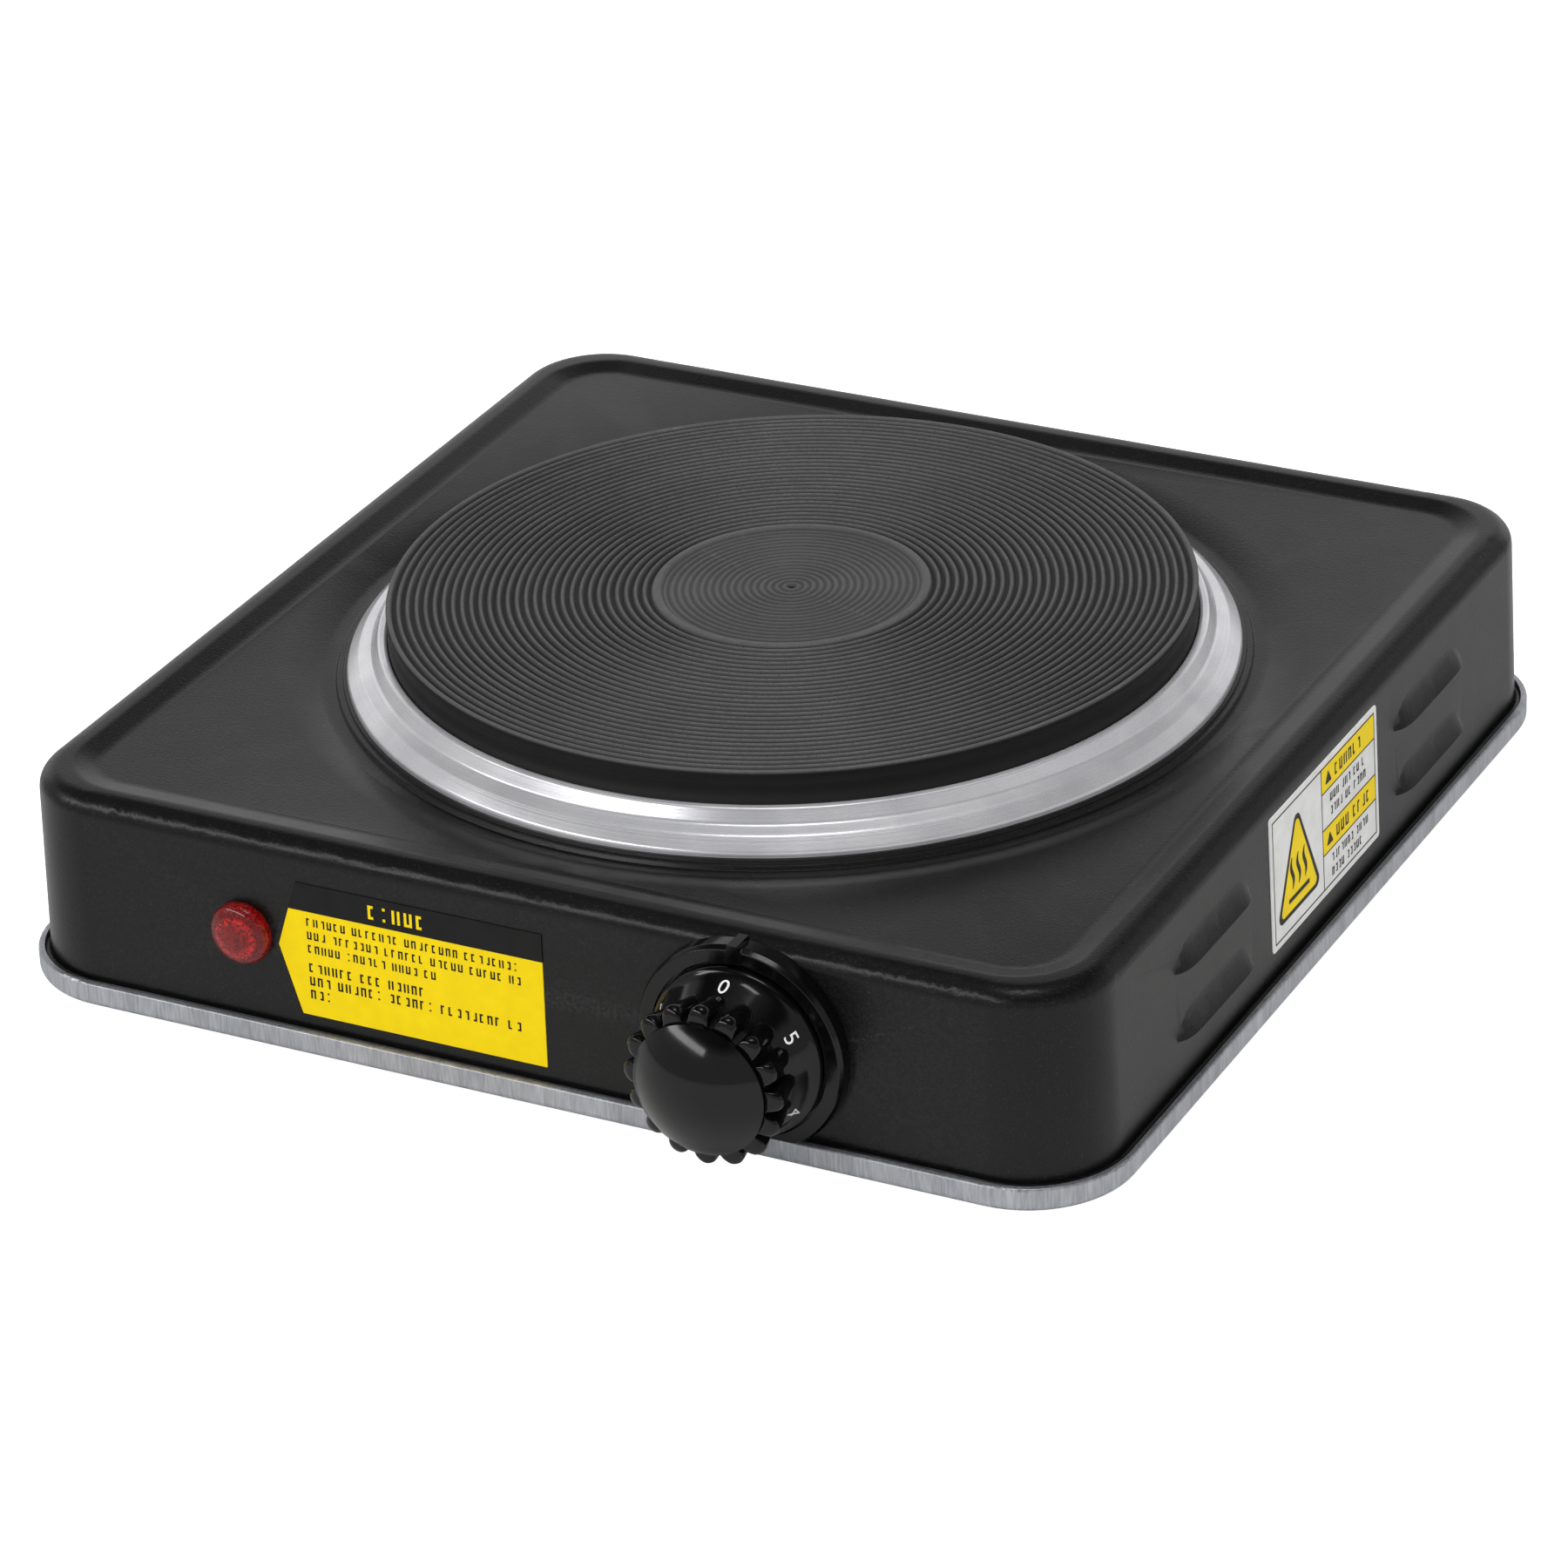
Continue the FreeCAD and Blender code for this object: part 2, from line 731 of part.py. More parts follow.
def build_brackets(inner):
    """Angle pieces spot-welded inside the housing's sides, which the foot screws pull up against."""
    brackets = []
    reach = foot_screw_head_r + bracket_reach
    for sx, sy, x, y in foot_places():
        near, far = sorted((x - sx * reach, sx * (half_foot + 1)))
        low = z_floor
        leg = block(near, far, y - bracket_width / 2, y + bracket_width / 2, low, low + bracket_sheet)
        wall_in = sx * (half_width(low + bracket_rise) - sheet - bracket_sheet)
        a, b = sorted((wall_in, sx * (half_foot + 1)))
        upright = block(a, b, y - bracket_width / 2, y + bracket_width / 2, low, low + bracket_rise)
        bracket = leg.fuse(upright).common(inner)
        bracket = bracket.cut(rod(foot_screw_r, V(x, y, low - 1), V(x, y, low + bracket_sheet + 1)))
        brackets.append(bracket.removeSplitter())
    return Part.makeCompound(brackets)


# ---- cooking plate, ring and element ----
def build_plate():
    """Casting with concentric machined grooves and a shallow smooth middle."""
    low = z_plate - disc_recess_depth
    line = [(0, low), (disc_recess_r - disc_recess_slope, low), (disc_recess_r, z_plate)]
    r = groove_first_r
    quarter = groove_pitch / 4
    while r < plate_r - groove_pitch:
        line.append((r - quarter, z_plate))
        line.append((r, z_plate - groove_depth))
        line.append((r + quarter, z_plate))
        r += groove_pitch
    line.append((plate_r, z_plate))
    line.append((plate_r, z_casting + plate_chamfer))
    line.append((plate_r - plate_chamfer, z_casting))
    cavity_r = plate_r - plate_skirt
    cavity_z = z_plate - plate_skin
    under = [(0, z_casting + stud_grip), (stud_r, z_casting + stud_grip), (stud_r, z_casting)]
    under += [(boss_r, z_casting), (boss_r, cavity_z), (cavity_r, cavity_z), (cavity_r, z_casting)]
    under.append((plate_r - plate_chamfer, z_casting))
    radii = [0.0] * (len(line) - 2)
    radii[-2] = plate_edge_r
    top = [V(a, 0, b) for a, b in line]
    bottom = [V(a, 0, b) for a, b in under]
    edges = soft_path(top, radii)
    for a, b in zip(bottom[:-1], bottom[1:]):
        edges.append(Part.LineSegment(a, b).toShape())
    edges.append(Part.LineSegment(top[0], bottom[0]).toShape())
    outline = Part.Wire(Part.__sortEdges__(edges))
    return Part.Face(outline).revolve(V(0, 0, 0), V(0, 0, 1), 360)


def ring_line():
    leg = plate_r + ring_gap
    return [
        (plate_r - ring_lip, z_casting),
        (leg, z_casting),
        (leg, z_ring),
        (leg + ring_flat, z_ring),
        (leg + ring_step[0], z_ring - ring_step[1]),
        (leg + ring_shoulder[0], z_ring - ring_shoulder[1]),
        (ring_r - ring_foot_lean, z_land + ring_foot_rise),
        (ring_r, z_land),
    ]


def build_ring():
    """Thin bright ring: clamped under the casting, up round its side, over and down to the collar's seat."""
    line = ring_line()
    under = offset_line(line, ring_sheet)
    under[-1] = (ring_r - ring_sheet, z_land)
    return turned(line, ring_bends, under, ring_under_bends)


def coil_arcs():
    """Half turns of the flat spiral, as (centre y, radius, side of x)."""
    arcs = []
    for k in range(coil_half_turns):
        r = coil_first_r + k * coil_pitch / 2
        centre = -coil_pitch / 4 if k % 2 == 0 else coil_pitch / 4
        arcs.append((centre, r, 1 if k % 2 == 0 else -1))
    return arcs


coil_start_y = coil_first_r - coil_pitch / 4
coil_end_y = coil_start_y + coil_half_turns * coil_pitch / 2
z_cavity = z_plate - plate_skin
z_coil = z_cavity - insulation_gap - coil_wire / 2 - channel_gap
z_cover = z_casting - cover_sheet
z_pin_end = z_cover - pin_drop


def coil_path():
    """Lead up, spiral, lead down, as one tangent chain."""
    edges = []
    bend = coil_lead_bend
    edges.append(Part.LineSegment(V(-bend, coil_start_y, z_pin_end),
                                  V(-bend, coil_start_y, z_coil - bend)).toShape())
    middle = bend * (1 - math.cos(math.pi / 4))
    edges.append(Part.Arc(V(-bend, coil_start_y, z_coil - bend),
                          V(middle - bend, coil_start_y, z_coil - middle),
                          V(0, coil_start_y, z_coil)).toShape())
    for centre, r, side in coil_arcs():
        start = 1 if side > 0 else -1
        edges.append(Part.Arc(V(0, centre + start * r, z_coil),
                              V(side * r, centre, z_coil),
                              V(0, centre - start * r, z_coil)).toShape())
    edges.append(Part.Arc(V(0, coil_end_y, z_coil),
                          V(bend - middle, coil_end_y, z_coil - middle),
                          V(bend, coil_end_y, z_coil - bend)).toShape())
    edges.append(Part.LineSegment(V(bend, coil_end_y, z_coil - bend),
                                  V(bend, coil_end_y, z_pin_end)).toShape())
    return Part.Wire(edges)


def lead_places():
    return [(-coil_lead_bend, coil_start_y), (coil_lead_bend, coil_end_y)]


def build_coil():
    path = coil_path()
    x, y = lead_places()[0]
    ring = Part.Wire(Part.makeCircle(coil_wire / 2, V(x, y, z_pin_end), V(0, 0, 1)))
    return path.makePipeShell([ring], True, False)


def build_insulation():
    """Magnesia filling of the casting's cavity, with an open channel for the coil."""
    inner = boss_r + insulation_gap
    outer = plate_r - plate_skirt - insulation_gap
    top = z_cavity - insulation_gap
    body = Part.makeCylinder(outer, top - z_casting, V(0, 0, z_casting))
    body = body.cut(Part.makeCylinder(inner, top, V(0, 0, 0)))
    half = coil_wire / 2 + channel_gap
    low = z_coil - half
    for centre, r, side in coil_arcs():
        ring = Part.makeCylinder(r + half, 20, V(0, centre, low))
        ring = ring.cut(Part.makeCylinder(r - half, 20, V(0, centre, low)))
        x0, x1 = sorted((0, side * plate_r))
        body = body.cut(ring.common(block(x0, x1, -plate_r, plate_r, low, z_plate)))
    for x, y in lead_places():
        x0, x1 = sorted((x + math.copysign(half, x), -math.copysign(lead_channel_end, x)))
        body = body.cut(block(x0, x1, y - half, y + half, low - coil_lead_bend, z_plate))
        body = body.cut(rod(bush_r + hole_fit, V(x, y, 0), V(x, y, z_coil - half)))
    return body


def build_cover():
    """Steel disc that closes the underside of the casting."""
    edge = plate_r - ring_lip - cover_edge_gap
    disc = Part.makeCylinder(edge, cover_sheet, V(0, 0, z_cover))
    disc = disc.makeFillet(cover_edge_r, level_edges(disc, z_cover))
    disc = disc.cut(rod(stud_r + clearance_hole, V(0, 0, 0), V(0, 0, z_plate)))
    for x, y in lead_places():
        disc = disc.cut(rod(bush_r + hole_fit, V(x, y, 0), V(x, y, z_plate)))
    return disc


def build_lead_bushes():
    """Ceramic bushes that carry the element's cold pins through the cover."""
    bushes = []
    for x, y in lead_places():
        top = z_coil - coil_lead_bend - bush_top_gap
        low = top - bush_length
        bush = rod(bush_r, V(x, y, low), V(x, y, top))
        flange = rod(bush_r + bush_flange, V(x, y, z_cover - bush_flange_sheet), V(x, y, z_cover))
        bush = bush.fuse(flange)
        bushes.append(bush.cut(rod(coil_wire / 2 + bush_bore_gap, V(x, y, 0), V(x, y, z_plate))))
    return Part.makeCompound(bushes)


def build_pin_tabs():
    """Blade tabs welded to the lower ends of the two cold pins."""
    tabs = []
    pin_r = coil_wire / 2
    low = z_pin_end - sleeve_overhang
    for x, y in lead_places():
        top = z_pin_end + sleeve_height
        sleeve = rod(pin_r + sleeve_wall, V(x, y, low), V(x, y, top))
        sleeve = sleeve.cut(rod(pin_r, V(x, y, z_pin_end), V(x, y, top + 1)))
        blade = block(x - tab_length - blade_reach, x - blade_root, y - tab_sheet / 2, y + tab_sheet / 2,
                      low - tab_width / 2, low + tab_width / 2)
        blade = blade.cut(rod(pin_r + sleeve_wall / 2, V(x, y, z_pin_end), V(x, y, top + 1)))
        tabs.append(sleeve.fuse(blade))
    return Part.makeCompound(tabs)


# ---- central fixing ----
z_bar = z_cover - cover_nut_height


def build_stud():
    top = z_casting + stud_grip
    stud = rod(stud_r, V(0, 0, top - stud_length), V(0, 0, top))
    return stud.makeChamfer(stud_chamfer, level_edges(stud, top - stud_length))


def build_cover_nut():
    nut = hexagon(nut_flats, V(0, 0, z_bar), cover_nut_height)
    return nut.cut(rod(stud_r, V(0, 0, 0), V(0, 0, z_plate)))


def build_bar():
    """Cranked bar under the plate, whose ends bear up against the collar's seat from below."""
    end_z = z_land - sheet
    half = bar_width / 2
    outer = math.sqrt((collar_r - bar_end_gap) ** 2 - half ** 2)
    pad = opening_r + bar_pad
    ramp = pad - bar_ramp
    line = [(-outer, end_z), (-pad, end_z), (-ramp, z_bar), (ramp, z_bar), (pad, end_z), (outer, end_z)]
    under = offset_line(line, bar_sheet)
    radii = [bar_inner_bend, bar_outer_bend, bar_outer_bend, bar_inner_bend]
    under_radii = [bar_outer_bend, bar_inner_bend, bar_inner_bend, bar_outer_bend]
    top = [V(x, -half, z) for x, z in line]
    bottom = [V(x, -half, z) for x, z in reversed(under)]
    edges = soft_path(top, radii)
    edges.append(Part.LineSegment(top[-1], bottom[0]).toShape())
    edges += soft_path(bottom, under_radii)
    edges.append(Part.LineSegment(bottom[-1], top[0]).toShape())
    bar = Part.Face(Part.Wire(edges)).extrude(V(0, bar_width, 0))
    return bar.cut(rod(stud_r + clearance_hole, V(0, 0, 0), V(0, 0, z_plate)))


def build_washer():
    top = z_bar - bar_sheet
    washer = rod(washer_r, V(0, 0, top - washer_sheet), V(0, 0, top))
    return washer.cut(rod(stud_r + clearance_hole, V(0, 0, 0), V(0, 0, z_plate)))


def build_stud_nut():
    top = z_bar - bar_sheet - washer_sheet
    nut = hexagon(nut_flats, V(0, 0, top - stud_nut_height), stud_nut_height)
    low = top - stud_nut_height
    small = nut_flats / 2 + nut_bevel_start
    cap = Part.makeCone(small, small + nut_bevel, nut_bevel, V(0, 0, low))
    cap = cap.fuse(rod(nut_flats, V(0, 0, low + nut_bevel), V(0, 0, top)))
    nut = nut.common(cap)
    return nut.cut(rod(stud_r, V(0, 0, 0), V(0, 0, z_plate)))


# ---- control ----
def front_point(dx, depth, dz=0.0):
    """Point relative to the knob's axis where it meets the housing; depth counts towards the front."""
    return V(knob_x + dx, -face_y - depth, row_height + dz)


def front_disc(r, back, front, dx=0.0, dz=0.0):
    return rod(r, front_point(dx, back, dz), front_point(dx, front, dz))


def front_turned(line, radii):
    """Solid turned about the knob's axis from a closed (radius, depth) line."""
    points = [V(knob_x + r, -face_y - d, row_height) for r, d in line]
    edges = soft_path(points, radii)
    if (points[-1] - points[0]).Length > 1e-6:
        edges.append(Part.LineSegment(points[-1], points[0]).toShape())
    face = Part.Face(Part.Wire(edges))
    return face.revolve(front_point(0, 0), V(0, -1, 0), 360)


def behind_front():
    """Everything behind the plane of the housing's drafted front wall."""
    low, high = 0, 2 * body_height
    outline = [
        V(-half_rim, -half_width(low), low), V(-half_rim, -half_width(high), high),
        V(-half_rim, 0, high), V(-half_rim, 0, low), V(-half_rim, -half_width(low), low),
    ]
    return Part.Face(Part.makePolygon(outline)).extrude(V(2 * half_rim, 0, 0))


def build_bezel():
    """Fixed ring round the knob, with the index mark at its top."""
    line = [
        (frame_bush_r + clearance_hole, -bezel_root),
        (frame_bush_r + clearance_hole, bezel_floor),
        (bezel_inner_r, bezel_floor),
        (bezel_inner_r, bezel_depth),
        (bezel_r - bezel_edge, bezel_depth),
        (bezel_r, bezel_depth - bezel_edge_depth),
        (bezel_r, -bezel_root),
    ]
    ring = front_turned(line, [0, 0, 0, 0.3, 0.5])
    half = index_width / 2
    narrow = half * index_narrowing
    top = bezel_r + index_reach
    low = bezel_inner_r + index_gap
    outline = []
    for dx, dz in ((-half, low), (half, low), (narrow, top), (-narrow, top), (-half, low)):
        outline.append(front_point(dx, -bezel_root, dz))
    mark = Part.Face(Part.makePolygon(outline)).extrude(V(0, -bezel_depth - index_rise - bezel_root, 0))
    ring = ring.fuse(mark)
    for side in (-1, 1):
        ring = ring.cut(front_disc(screw_r + hole_fit, -2 * bezel_root, bezel_depth, side * screw_spread))
    low = z_rim + bezel_rim_gap
    ring = ring.cut(block(knob_x - bezel_r, knob_x + bezel_r, -2 * half_rim, 0, 0, low))
    return ring.cut(behind_front()).removeSplitter()


def build_control_screws():
    """Two screws through bezel and housing into the thermostat's frame."""
    screws = []
    for side in (-1, 1):
        dx = side * screw_spread
        head = front_disc(screw_head_r, bezel_floor, bezel_floor + screw_head_height, dx)
        shank = front_disc(screw_r, -sheet - frame_plate - screw_grip, bezel_floor, dx)
        at = front_point(dx, bezel_floor + screw_head_height)
        slot = block(at.x - screw_head_r, at.x + screw_head_r, at.y - 1, at.y + slot_depth,
                     at.z - slot_half, at.z + slot_half)
        screws.append(head.fuse(shank).cut(slot))
    return Part.makeCompound(screws)


def knob_body():
    """Turned body: skirt, cone that carries the marks, waist, and domed cap."""
    start = bezel_floor + skirt_gap
    apex = cap_start + dome_rise
    dome = (cap_r ** 2 + dome_rise ** 2) / (2 * dome_rise)
    side = V(knob_x + cap_r, -face_y - cap_start, row_height)
    tip = front_point(0, apex)
    centre = front_point(0, apex - dome)
    half = math.asin(cap_r / dome) / 2
    between = V(knob_x + dome * math.sin(half), centre.y - dome * math.cos(half), row_height)
    line = [
        (0, start), (skirt_r, start), (skirt_r, marks_cone_start - skirt_edge),
        (skirt_r - cone_inset, marks_cone_start), (waist_r + cone_inset, marks_cone_end),
        (waist_r, marks_cone_end + waist_run), (cap_r, cap_start),
    ]
    points = [V(knob_x + r, -face_y - d, row_height) for r, d in line]
    edges = soft_path(points, [0.3, 0.8, 1.2, 6.0, 4.0])
    edges.append(Part.Arc(side, between, tip).toShape())
    edges.append(Part.LineSegment(tip, points[0]).toShape())
    face = Part.Face(Part.Wire(edges))
    return face.revolve(front_point(0, 0), V(0, -1, 0), 360)


def build_knob():
    knob = knob_body()
    back_at = marks_cone_end - rib_back_gap
    front_at = cap_start - rib_r - rib_front_gap
    for i in range(rib_count):
        a = 2 * math.pi * (i + 0.5) / rib_count
        ends = []
        for r, d in ((rib_back_r - rib_r, back_at), (rib_front_r - rib_r, front_at)):
            ends.append(front_point(r * math.sin(a), d, r * math.cos(a)))
        rib = rod(rib_r, ends[0], ends[1])
        rib = rib.fuse(Part.makeSphere(rib_r, ends[0])).fuse(Part.makeSphere(rib_r, ends[1]))
        knob = knob.fuse(rib)
    inner_r = skirt_r - knob_wall
    hollow_end = marks_cone_start - hollow_step
    hollow = front_disc(inner_r, bezel_floor, hollow_end)
    taper = Part.makeCone(inner_r, waist_r - knob_wall, marks_cone_end - marks_cone_start,
                          front_point(0, hollow_end), V(0, -1, 0))
    depth = cap_start - cap_wall
    hollow = hollow.fuse(taper).fuse(front_disc(waist_r - knob_wall, marks_cone_start, depth))
    hub = front_disc(hub_r, marks_cone_start - hub_set_back, depth + 1)
    knob = knob.cut(hollow).fuse(hub)
    return knob.cut(shaft_solid()).removeSplitter()


shaft_front = cap_start - shaft_front_gap


def shaft_solid():
    """Control shaft with its flat, seen from the front on the lower side."""
    shaft = front_disc(shaft_r, -shaft_behind, shaft_front)
    at = front_point(0, shaft_front, shaft_flat - shaft_r)
    flat_length = shaft_front - marks_cone_start
    flat = block(at.x - shaft_r, at.x + shaft_r, at.y - 1, at.y + flat_length + 1, at.z - shaft_r, at.z)
    return shaft.cut(flat)


def front_ring(outer, inner, back, front):
    return front_disc(outer, back, front).cut(front_disc(inner, back, front))


def split(ring, at, gap):
    """The ring with a gap of that width at its top."""
    centre = front_point(0, at)
    return ring.cut(block(centre.x - gap / 2, centre.x + gap / 2, centre.y - clip_length, centre.y + clip_length,
                          centre.z, centre.z + 2 * hub_r))


def build_shaft():
    groove_at = marks_cone_start - groove_offset
    return shaft_solid().cut(front_ring(shaft_r + 1, shaft_r - groove_cut, groove_at, groove_at + groove_width))


def build_shaft_ring():
    """Split retaining ring in the shaft's groove, in front of the frame's bush."""
    at = marks_cone_start - groove_offset + (groove_width - shaft_ring_sheet) / 2
    ring = front_ring(shaft_r + shaft_ring_wall, shaft_r - shaft_ring_grip, at, at + shaft_ring_sheet)
    return split(ring, at, shaft_ring_gap)


def build_knob_clip():
    """Split spring collar that grips the knob's hub onto the shaft."""
    start = marks_cone_start + clip_offset
    clip = front_ring(hub_r + clip_wall, hub_r + clip_fit, start, start + clip_length)
    return split(clip, start + clip_length / 2, clip_gap)


stack_front = -sheet - frame_plate     # depth of the stack's foot, negative is inside


def stack_depths():
    """Depths of the ceramic rings and the leaves between them, from the frame inwards."""
    at = stack_front
    places = {}
    for name, thick in (("base", stack_base), ("leaf_a", leaf_sheet), ("ring_a", stack_ring),
                        ("leaf_b", leaf_sheet), ("ring_b", stack_ring), ("bimetal", bimetal_sheet),
                        ("ring_c", stack_ring)):
        places[name] = (at, at - thick)
        at -= thick
    return places


depths = stack_depths()


def build_frame(inner):
    """Steel thermostat frame: a plate against the housing's front wall, and the shaft's bush."""
    at = front_point(0, -sheet - frame_plate)
    left = knob_x - stack_offset - frame_left
    right = knob_x + screw_spread + frame_right
    half = frame_height / 2
    plate = block(left, right, at.y - frame_plate - 1, at.y, row_height - half, row_height + half)
    plate = plate.common(inner)
    bush = front_disc(frame_bush_r, -sheet - frame_plate - frame_bush_length, bezel_floor + frame_bush_front)
    frame = plate.fuse(bush)
    for side in (-1, 1):
        frame = frame.cut(front_disc(screw_r, -8, 2, side * screw_spread))
    frame = frame.cut(front_disc(stack_rivet_r, -8, 2, -stack_offset))
    return frame.cut(front_disc(shaft_r + shaft_fit, -20, 10)).removeSplitter()


def build_insulators():
    """Four ceramic rings that keep the leaves apart."""
    rings = []
    for name in ("base", "ring_a", "ring_b", "ring_c"):
        near, far = depths[name]
        ring = front_disc(stack_r, far, near, -stack_offset)
        rings.append(ring.cut(front_disc(stack_rivet_r, -40, 2, -stack_offset)))
    return Part.makeCompound(rings)


def leaf(name, tab_side, reach):
    """Flat spring leaf from the stack to the shaft's axis, with a blade tab on the other side."""
    near, far = depths[name]
    y0 = -face_y - near
    y1 = -face_y - far
    x_stack = knob_x - stack_offset
    half = leaf_width / 2
    body = block(x_stack, x_stack + reach, y0, y1, row_height - half, row_height + half)
    body = body.fuse(front_disc(stack_r, far, near, -stack_offset))
    if tab_side:
        z = row_height + tab_side * tab_offset
        tab_end = x_stack - stack_r - tab_length - tab_root
        tab = block(tab_end, x_stack, y0, y1, z - tab_width / 2, z + tab_width / 2)
        body = body.fuse(tab)
    return body.cut(front_disc(leaf_hole_r, -40, 2, -stack_offset)).removeSplitter()


def build_contacts():
    """Silver contact buttons, one riveted to each switching leaf."""
    buttons = []
    for name, sign in (("leaf_a", -1), ("leaf_b", 1)):
        near, far = depths[name]
        start = far if sign < 0 else near
        buttons.append(front_disc(contact_r, start, start + sign * contact_height, contact_offset))
    return Part.makeCompound(buttons)


def build_stack_rivet():
    near, far = depths["base"][0], depths["ring_c"][1]
    rivet = front_disc(stack_rivet_r, far - rivet_head, near + frame_plate - rivet_end_gap, -stack_offset)
    head = front_disc(rivet_head_r, far - rivet_head, far, -stack_offset)
    return rivet.fuse(head).removeSplitter()


# ---- pilot lamp ----
def lamp_disc(r, back, front):
    return rod(r, V(lamp_x, -face_y - back, row_height), V(lamp_x, -face_y - front, row_height))


def build_lens():
    """Domed lens with a barrel through the housing."""
    ball = (lens_r ** 2 + lens_rise ** 2) / (2 * lens_rise)
    dome = Part.makeSphere(ball, V(lamp_x, -face_y - lens_flange - lens_rise + ball, row_height))
    dome = dome.common(lamp_disc(lens_r, lens_flange, lens_flange + lens_rise + 1))
    lens = lamp_disc(lens_r, -lens_root, lens_flange).fuse(dome)
    lens = lens.cut(behind_front())
    lens = lens.fuse(lamp_disc(lens_barrel_r, -lens_barrel, 0.2))
    return lens.cut(lamp_disc(lens_barrel_r - lens_wall, -lens_barrel - 1, lens_flange)).removeSplitter()


def build_lamp_clip(inner):
    """Push-on spring washer that holds the lens against the wall from inside."""
    disc = lamp_disc(lamp_clip_r, -sheet - lamp_clip_depth, 0).common(inner)
    disc = disc.cut(lamp_disc(lens_barrel_r, -10, 2))
    for a in range(0, 180, 60):
        rad = math.radians(a)
        along = V(math.cos(rad), 0, math.sin(rad)) * (lens_barrel_r + lamp_clip_slit)
        centre = V(lamp_x, -face_y, row_height)
        for at in (centre - along, centre + along):
            disc = disc.cut(rod(lamp_clip_slit_r, at, at + V(0, lens_barrel, 0)))
    return disc


def build_lamp_body():
    """Heat-proof holder pushed onto the lens barrel, closed at the back round the bulb's leads."""
    outer = lens_barrel_r + lamp_body_wall
    start = -sheet - lamp_body_gap
    sleeve = lamp_disc(outer, start - lamp_body_length, start)
    sleeve = sleeve.cut(lamp_disc(lens_barrel_r + lead_fit, -lens_barrel - lead_fit, start + 1))
    sleeve = sleeve.cut(lamp_disc(lens_barrel_r - lens_wall, start - lamp_body_length + lamp_body_base, 0))
    for side in (-1, 1):
        at = V(lamp_x + side * lamp_lead_spread, -face_y, row_height)
        sleeve = sleeve.cut(rod(lead_r + lead_fit, at, at + V(0, 2 * lamp_body_length, 0)))
    return sleeve


def build_bulb():
    front = -bulb_start
    glass = lamp_disc(bulb_r, front - bulb_length, front - bulb_r)
    tip = Part.makeSphere(bulb_r, V(lamp_x, -face_y - front + bulb_r, row_height))
    return glass.fuse(tip).removeSplitter()


# ---- labels ----
def label_skin(outline, direction):
    """A thin foil with the outline's shape, lying on the housing's drafted wall."""
    prism = Part.Face(outline).extrude(direction)
    return prism.common(outer_form(label_sheet)).cut(outer_form())


def build_front_label():
    """Foil with a square end and an end that points at the lamp."""
    width, height = front_label_size
    left = lamp_x + front_label_gap
    z = row_height - front_label_drop
    half = height / 2
    y = -half_rim - 2
    points = [
        V(left, y, z - half), V(left + width, y, z - half), V(left + width, y, z + half),
        V(left, y, z + half), V(left - front_label_point, y, z), V(left, y, z - half),
    ]
    return label_skin(Part.makePolygon(points), V(0, 10, 0))


def build_side_label():
    width, height = side_label_size
    half = width / 2 - label_corner_r
    tall = height / 2 - label_corner_r
    z = row_height + side_label_rise
    wire = rounded_outline(half + label_corner_r, tall + label_corner_r, label_corner_r, 0)
    wire.rotate(V(0, 0, 0), V(1, 0, 0), 90)
    wire.rotate(V(0, 0, 0), V(0, 0, 1), 90)
    wire.translate(V(half_rim + 2, 0, z))
    return label_skin(wire, V(-10, 0, 0))


def build_rating_label():
    """Blank foil under the base pan."""
    width, length = rating_label_size
    y = rating_label_y
    return block(-width / 2, width / 2, y - length / 2, y + length / 2, z_pan - label_sheet, z_pan)


# ---- mains inlet and wiring ----
def build_gland(housing):
    """Moulded bush in the back wall; the wall sits in the groove between its two flanges."""
    wall = half_width(gland_z)
    bush = rod(gland_flange_r, V(gland_x, wall - gland_inner_flange, gland_z), V(gland_x, wall + gland_flange, gland_z))
    tip = wall + gland_flange
    rounded = []
    for edge in bush.Edges:
        if all(abs(v.Y - tip) < 1e-4 for v in edge.Vertexes):
            rounded.append(edge)
    bush = bush.makeFillet(gland_edge_r, rounded)
    bush = bush.fuse(rod(gland_body_r, V(gland_x, wall - gland_inner, gland_z), V(gland_x, wall, gland_z)))
    bush = bush.cut(rod(gland_bore_r, V(gland_x, 0, gland_z), V(gland_x, 2 * wall, gland_z)))
    return bush.cut(housing).removeSplitter()


def way_x(i):
    """Centre of one way of the terminal block."""
    return gland_x + (i - (block_ways - 1) / 2) * block_size[0] / block_ways


z_way = z_floor + block_way_height


def build_block():
    """Porcelain three-way block, open front to back through each way."""
    w, d, h = block_size
    body = block(gland_x - w / 2, gland_x + w / 2, block_y - d / 2, block_y + d / 2, z_floor, z_floor + h)
    body = body.makeFillet(block_edge_r, level_edges(body, z_floor + h))
    for i in range(block_ways):
        x = way_x(i)
        body = body.cut(rod(block_tube_r + block_tube_fit, V(x, block_y - d, z_way), V(x, block_y + d, z_way)))
        for side in (-1, 1):
            y = block_y + side * terminal_offset
            body = body.cut(rod(block_screw_r + terminal_well, V(x, y, z_way), V(x, y, z_floor + h + 1)))
    low = V(block_screw_x, block_y, z_floor - 1)
    return body.cut(rod(screw_r, low, low + V(0, 0, h + 2)))


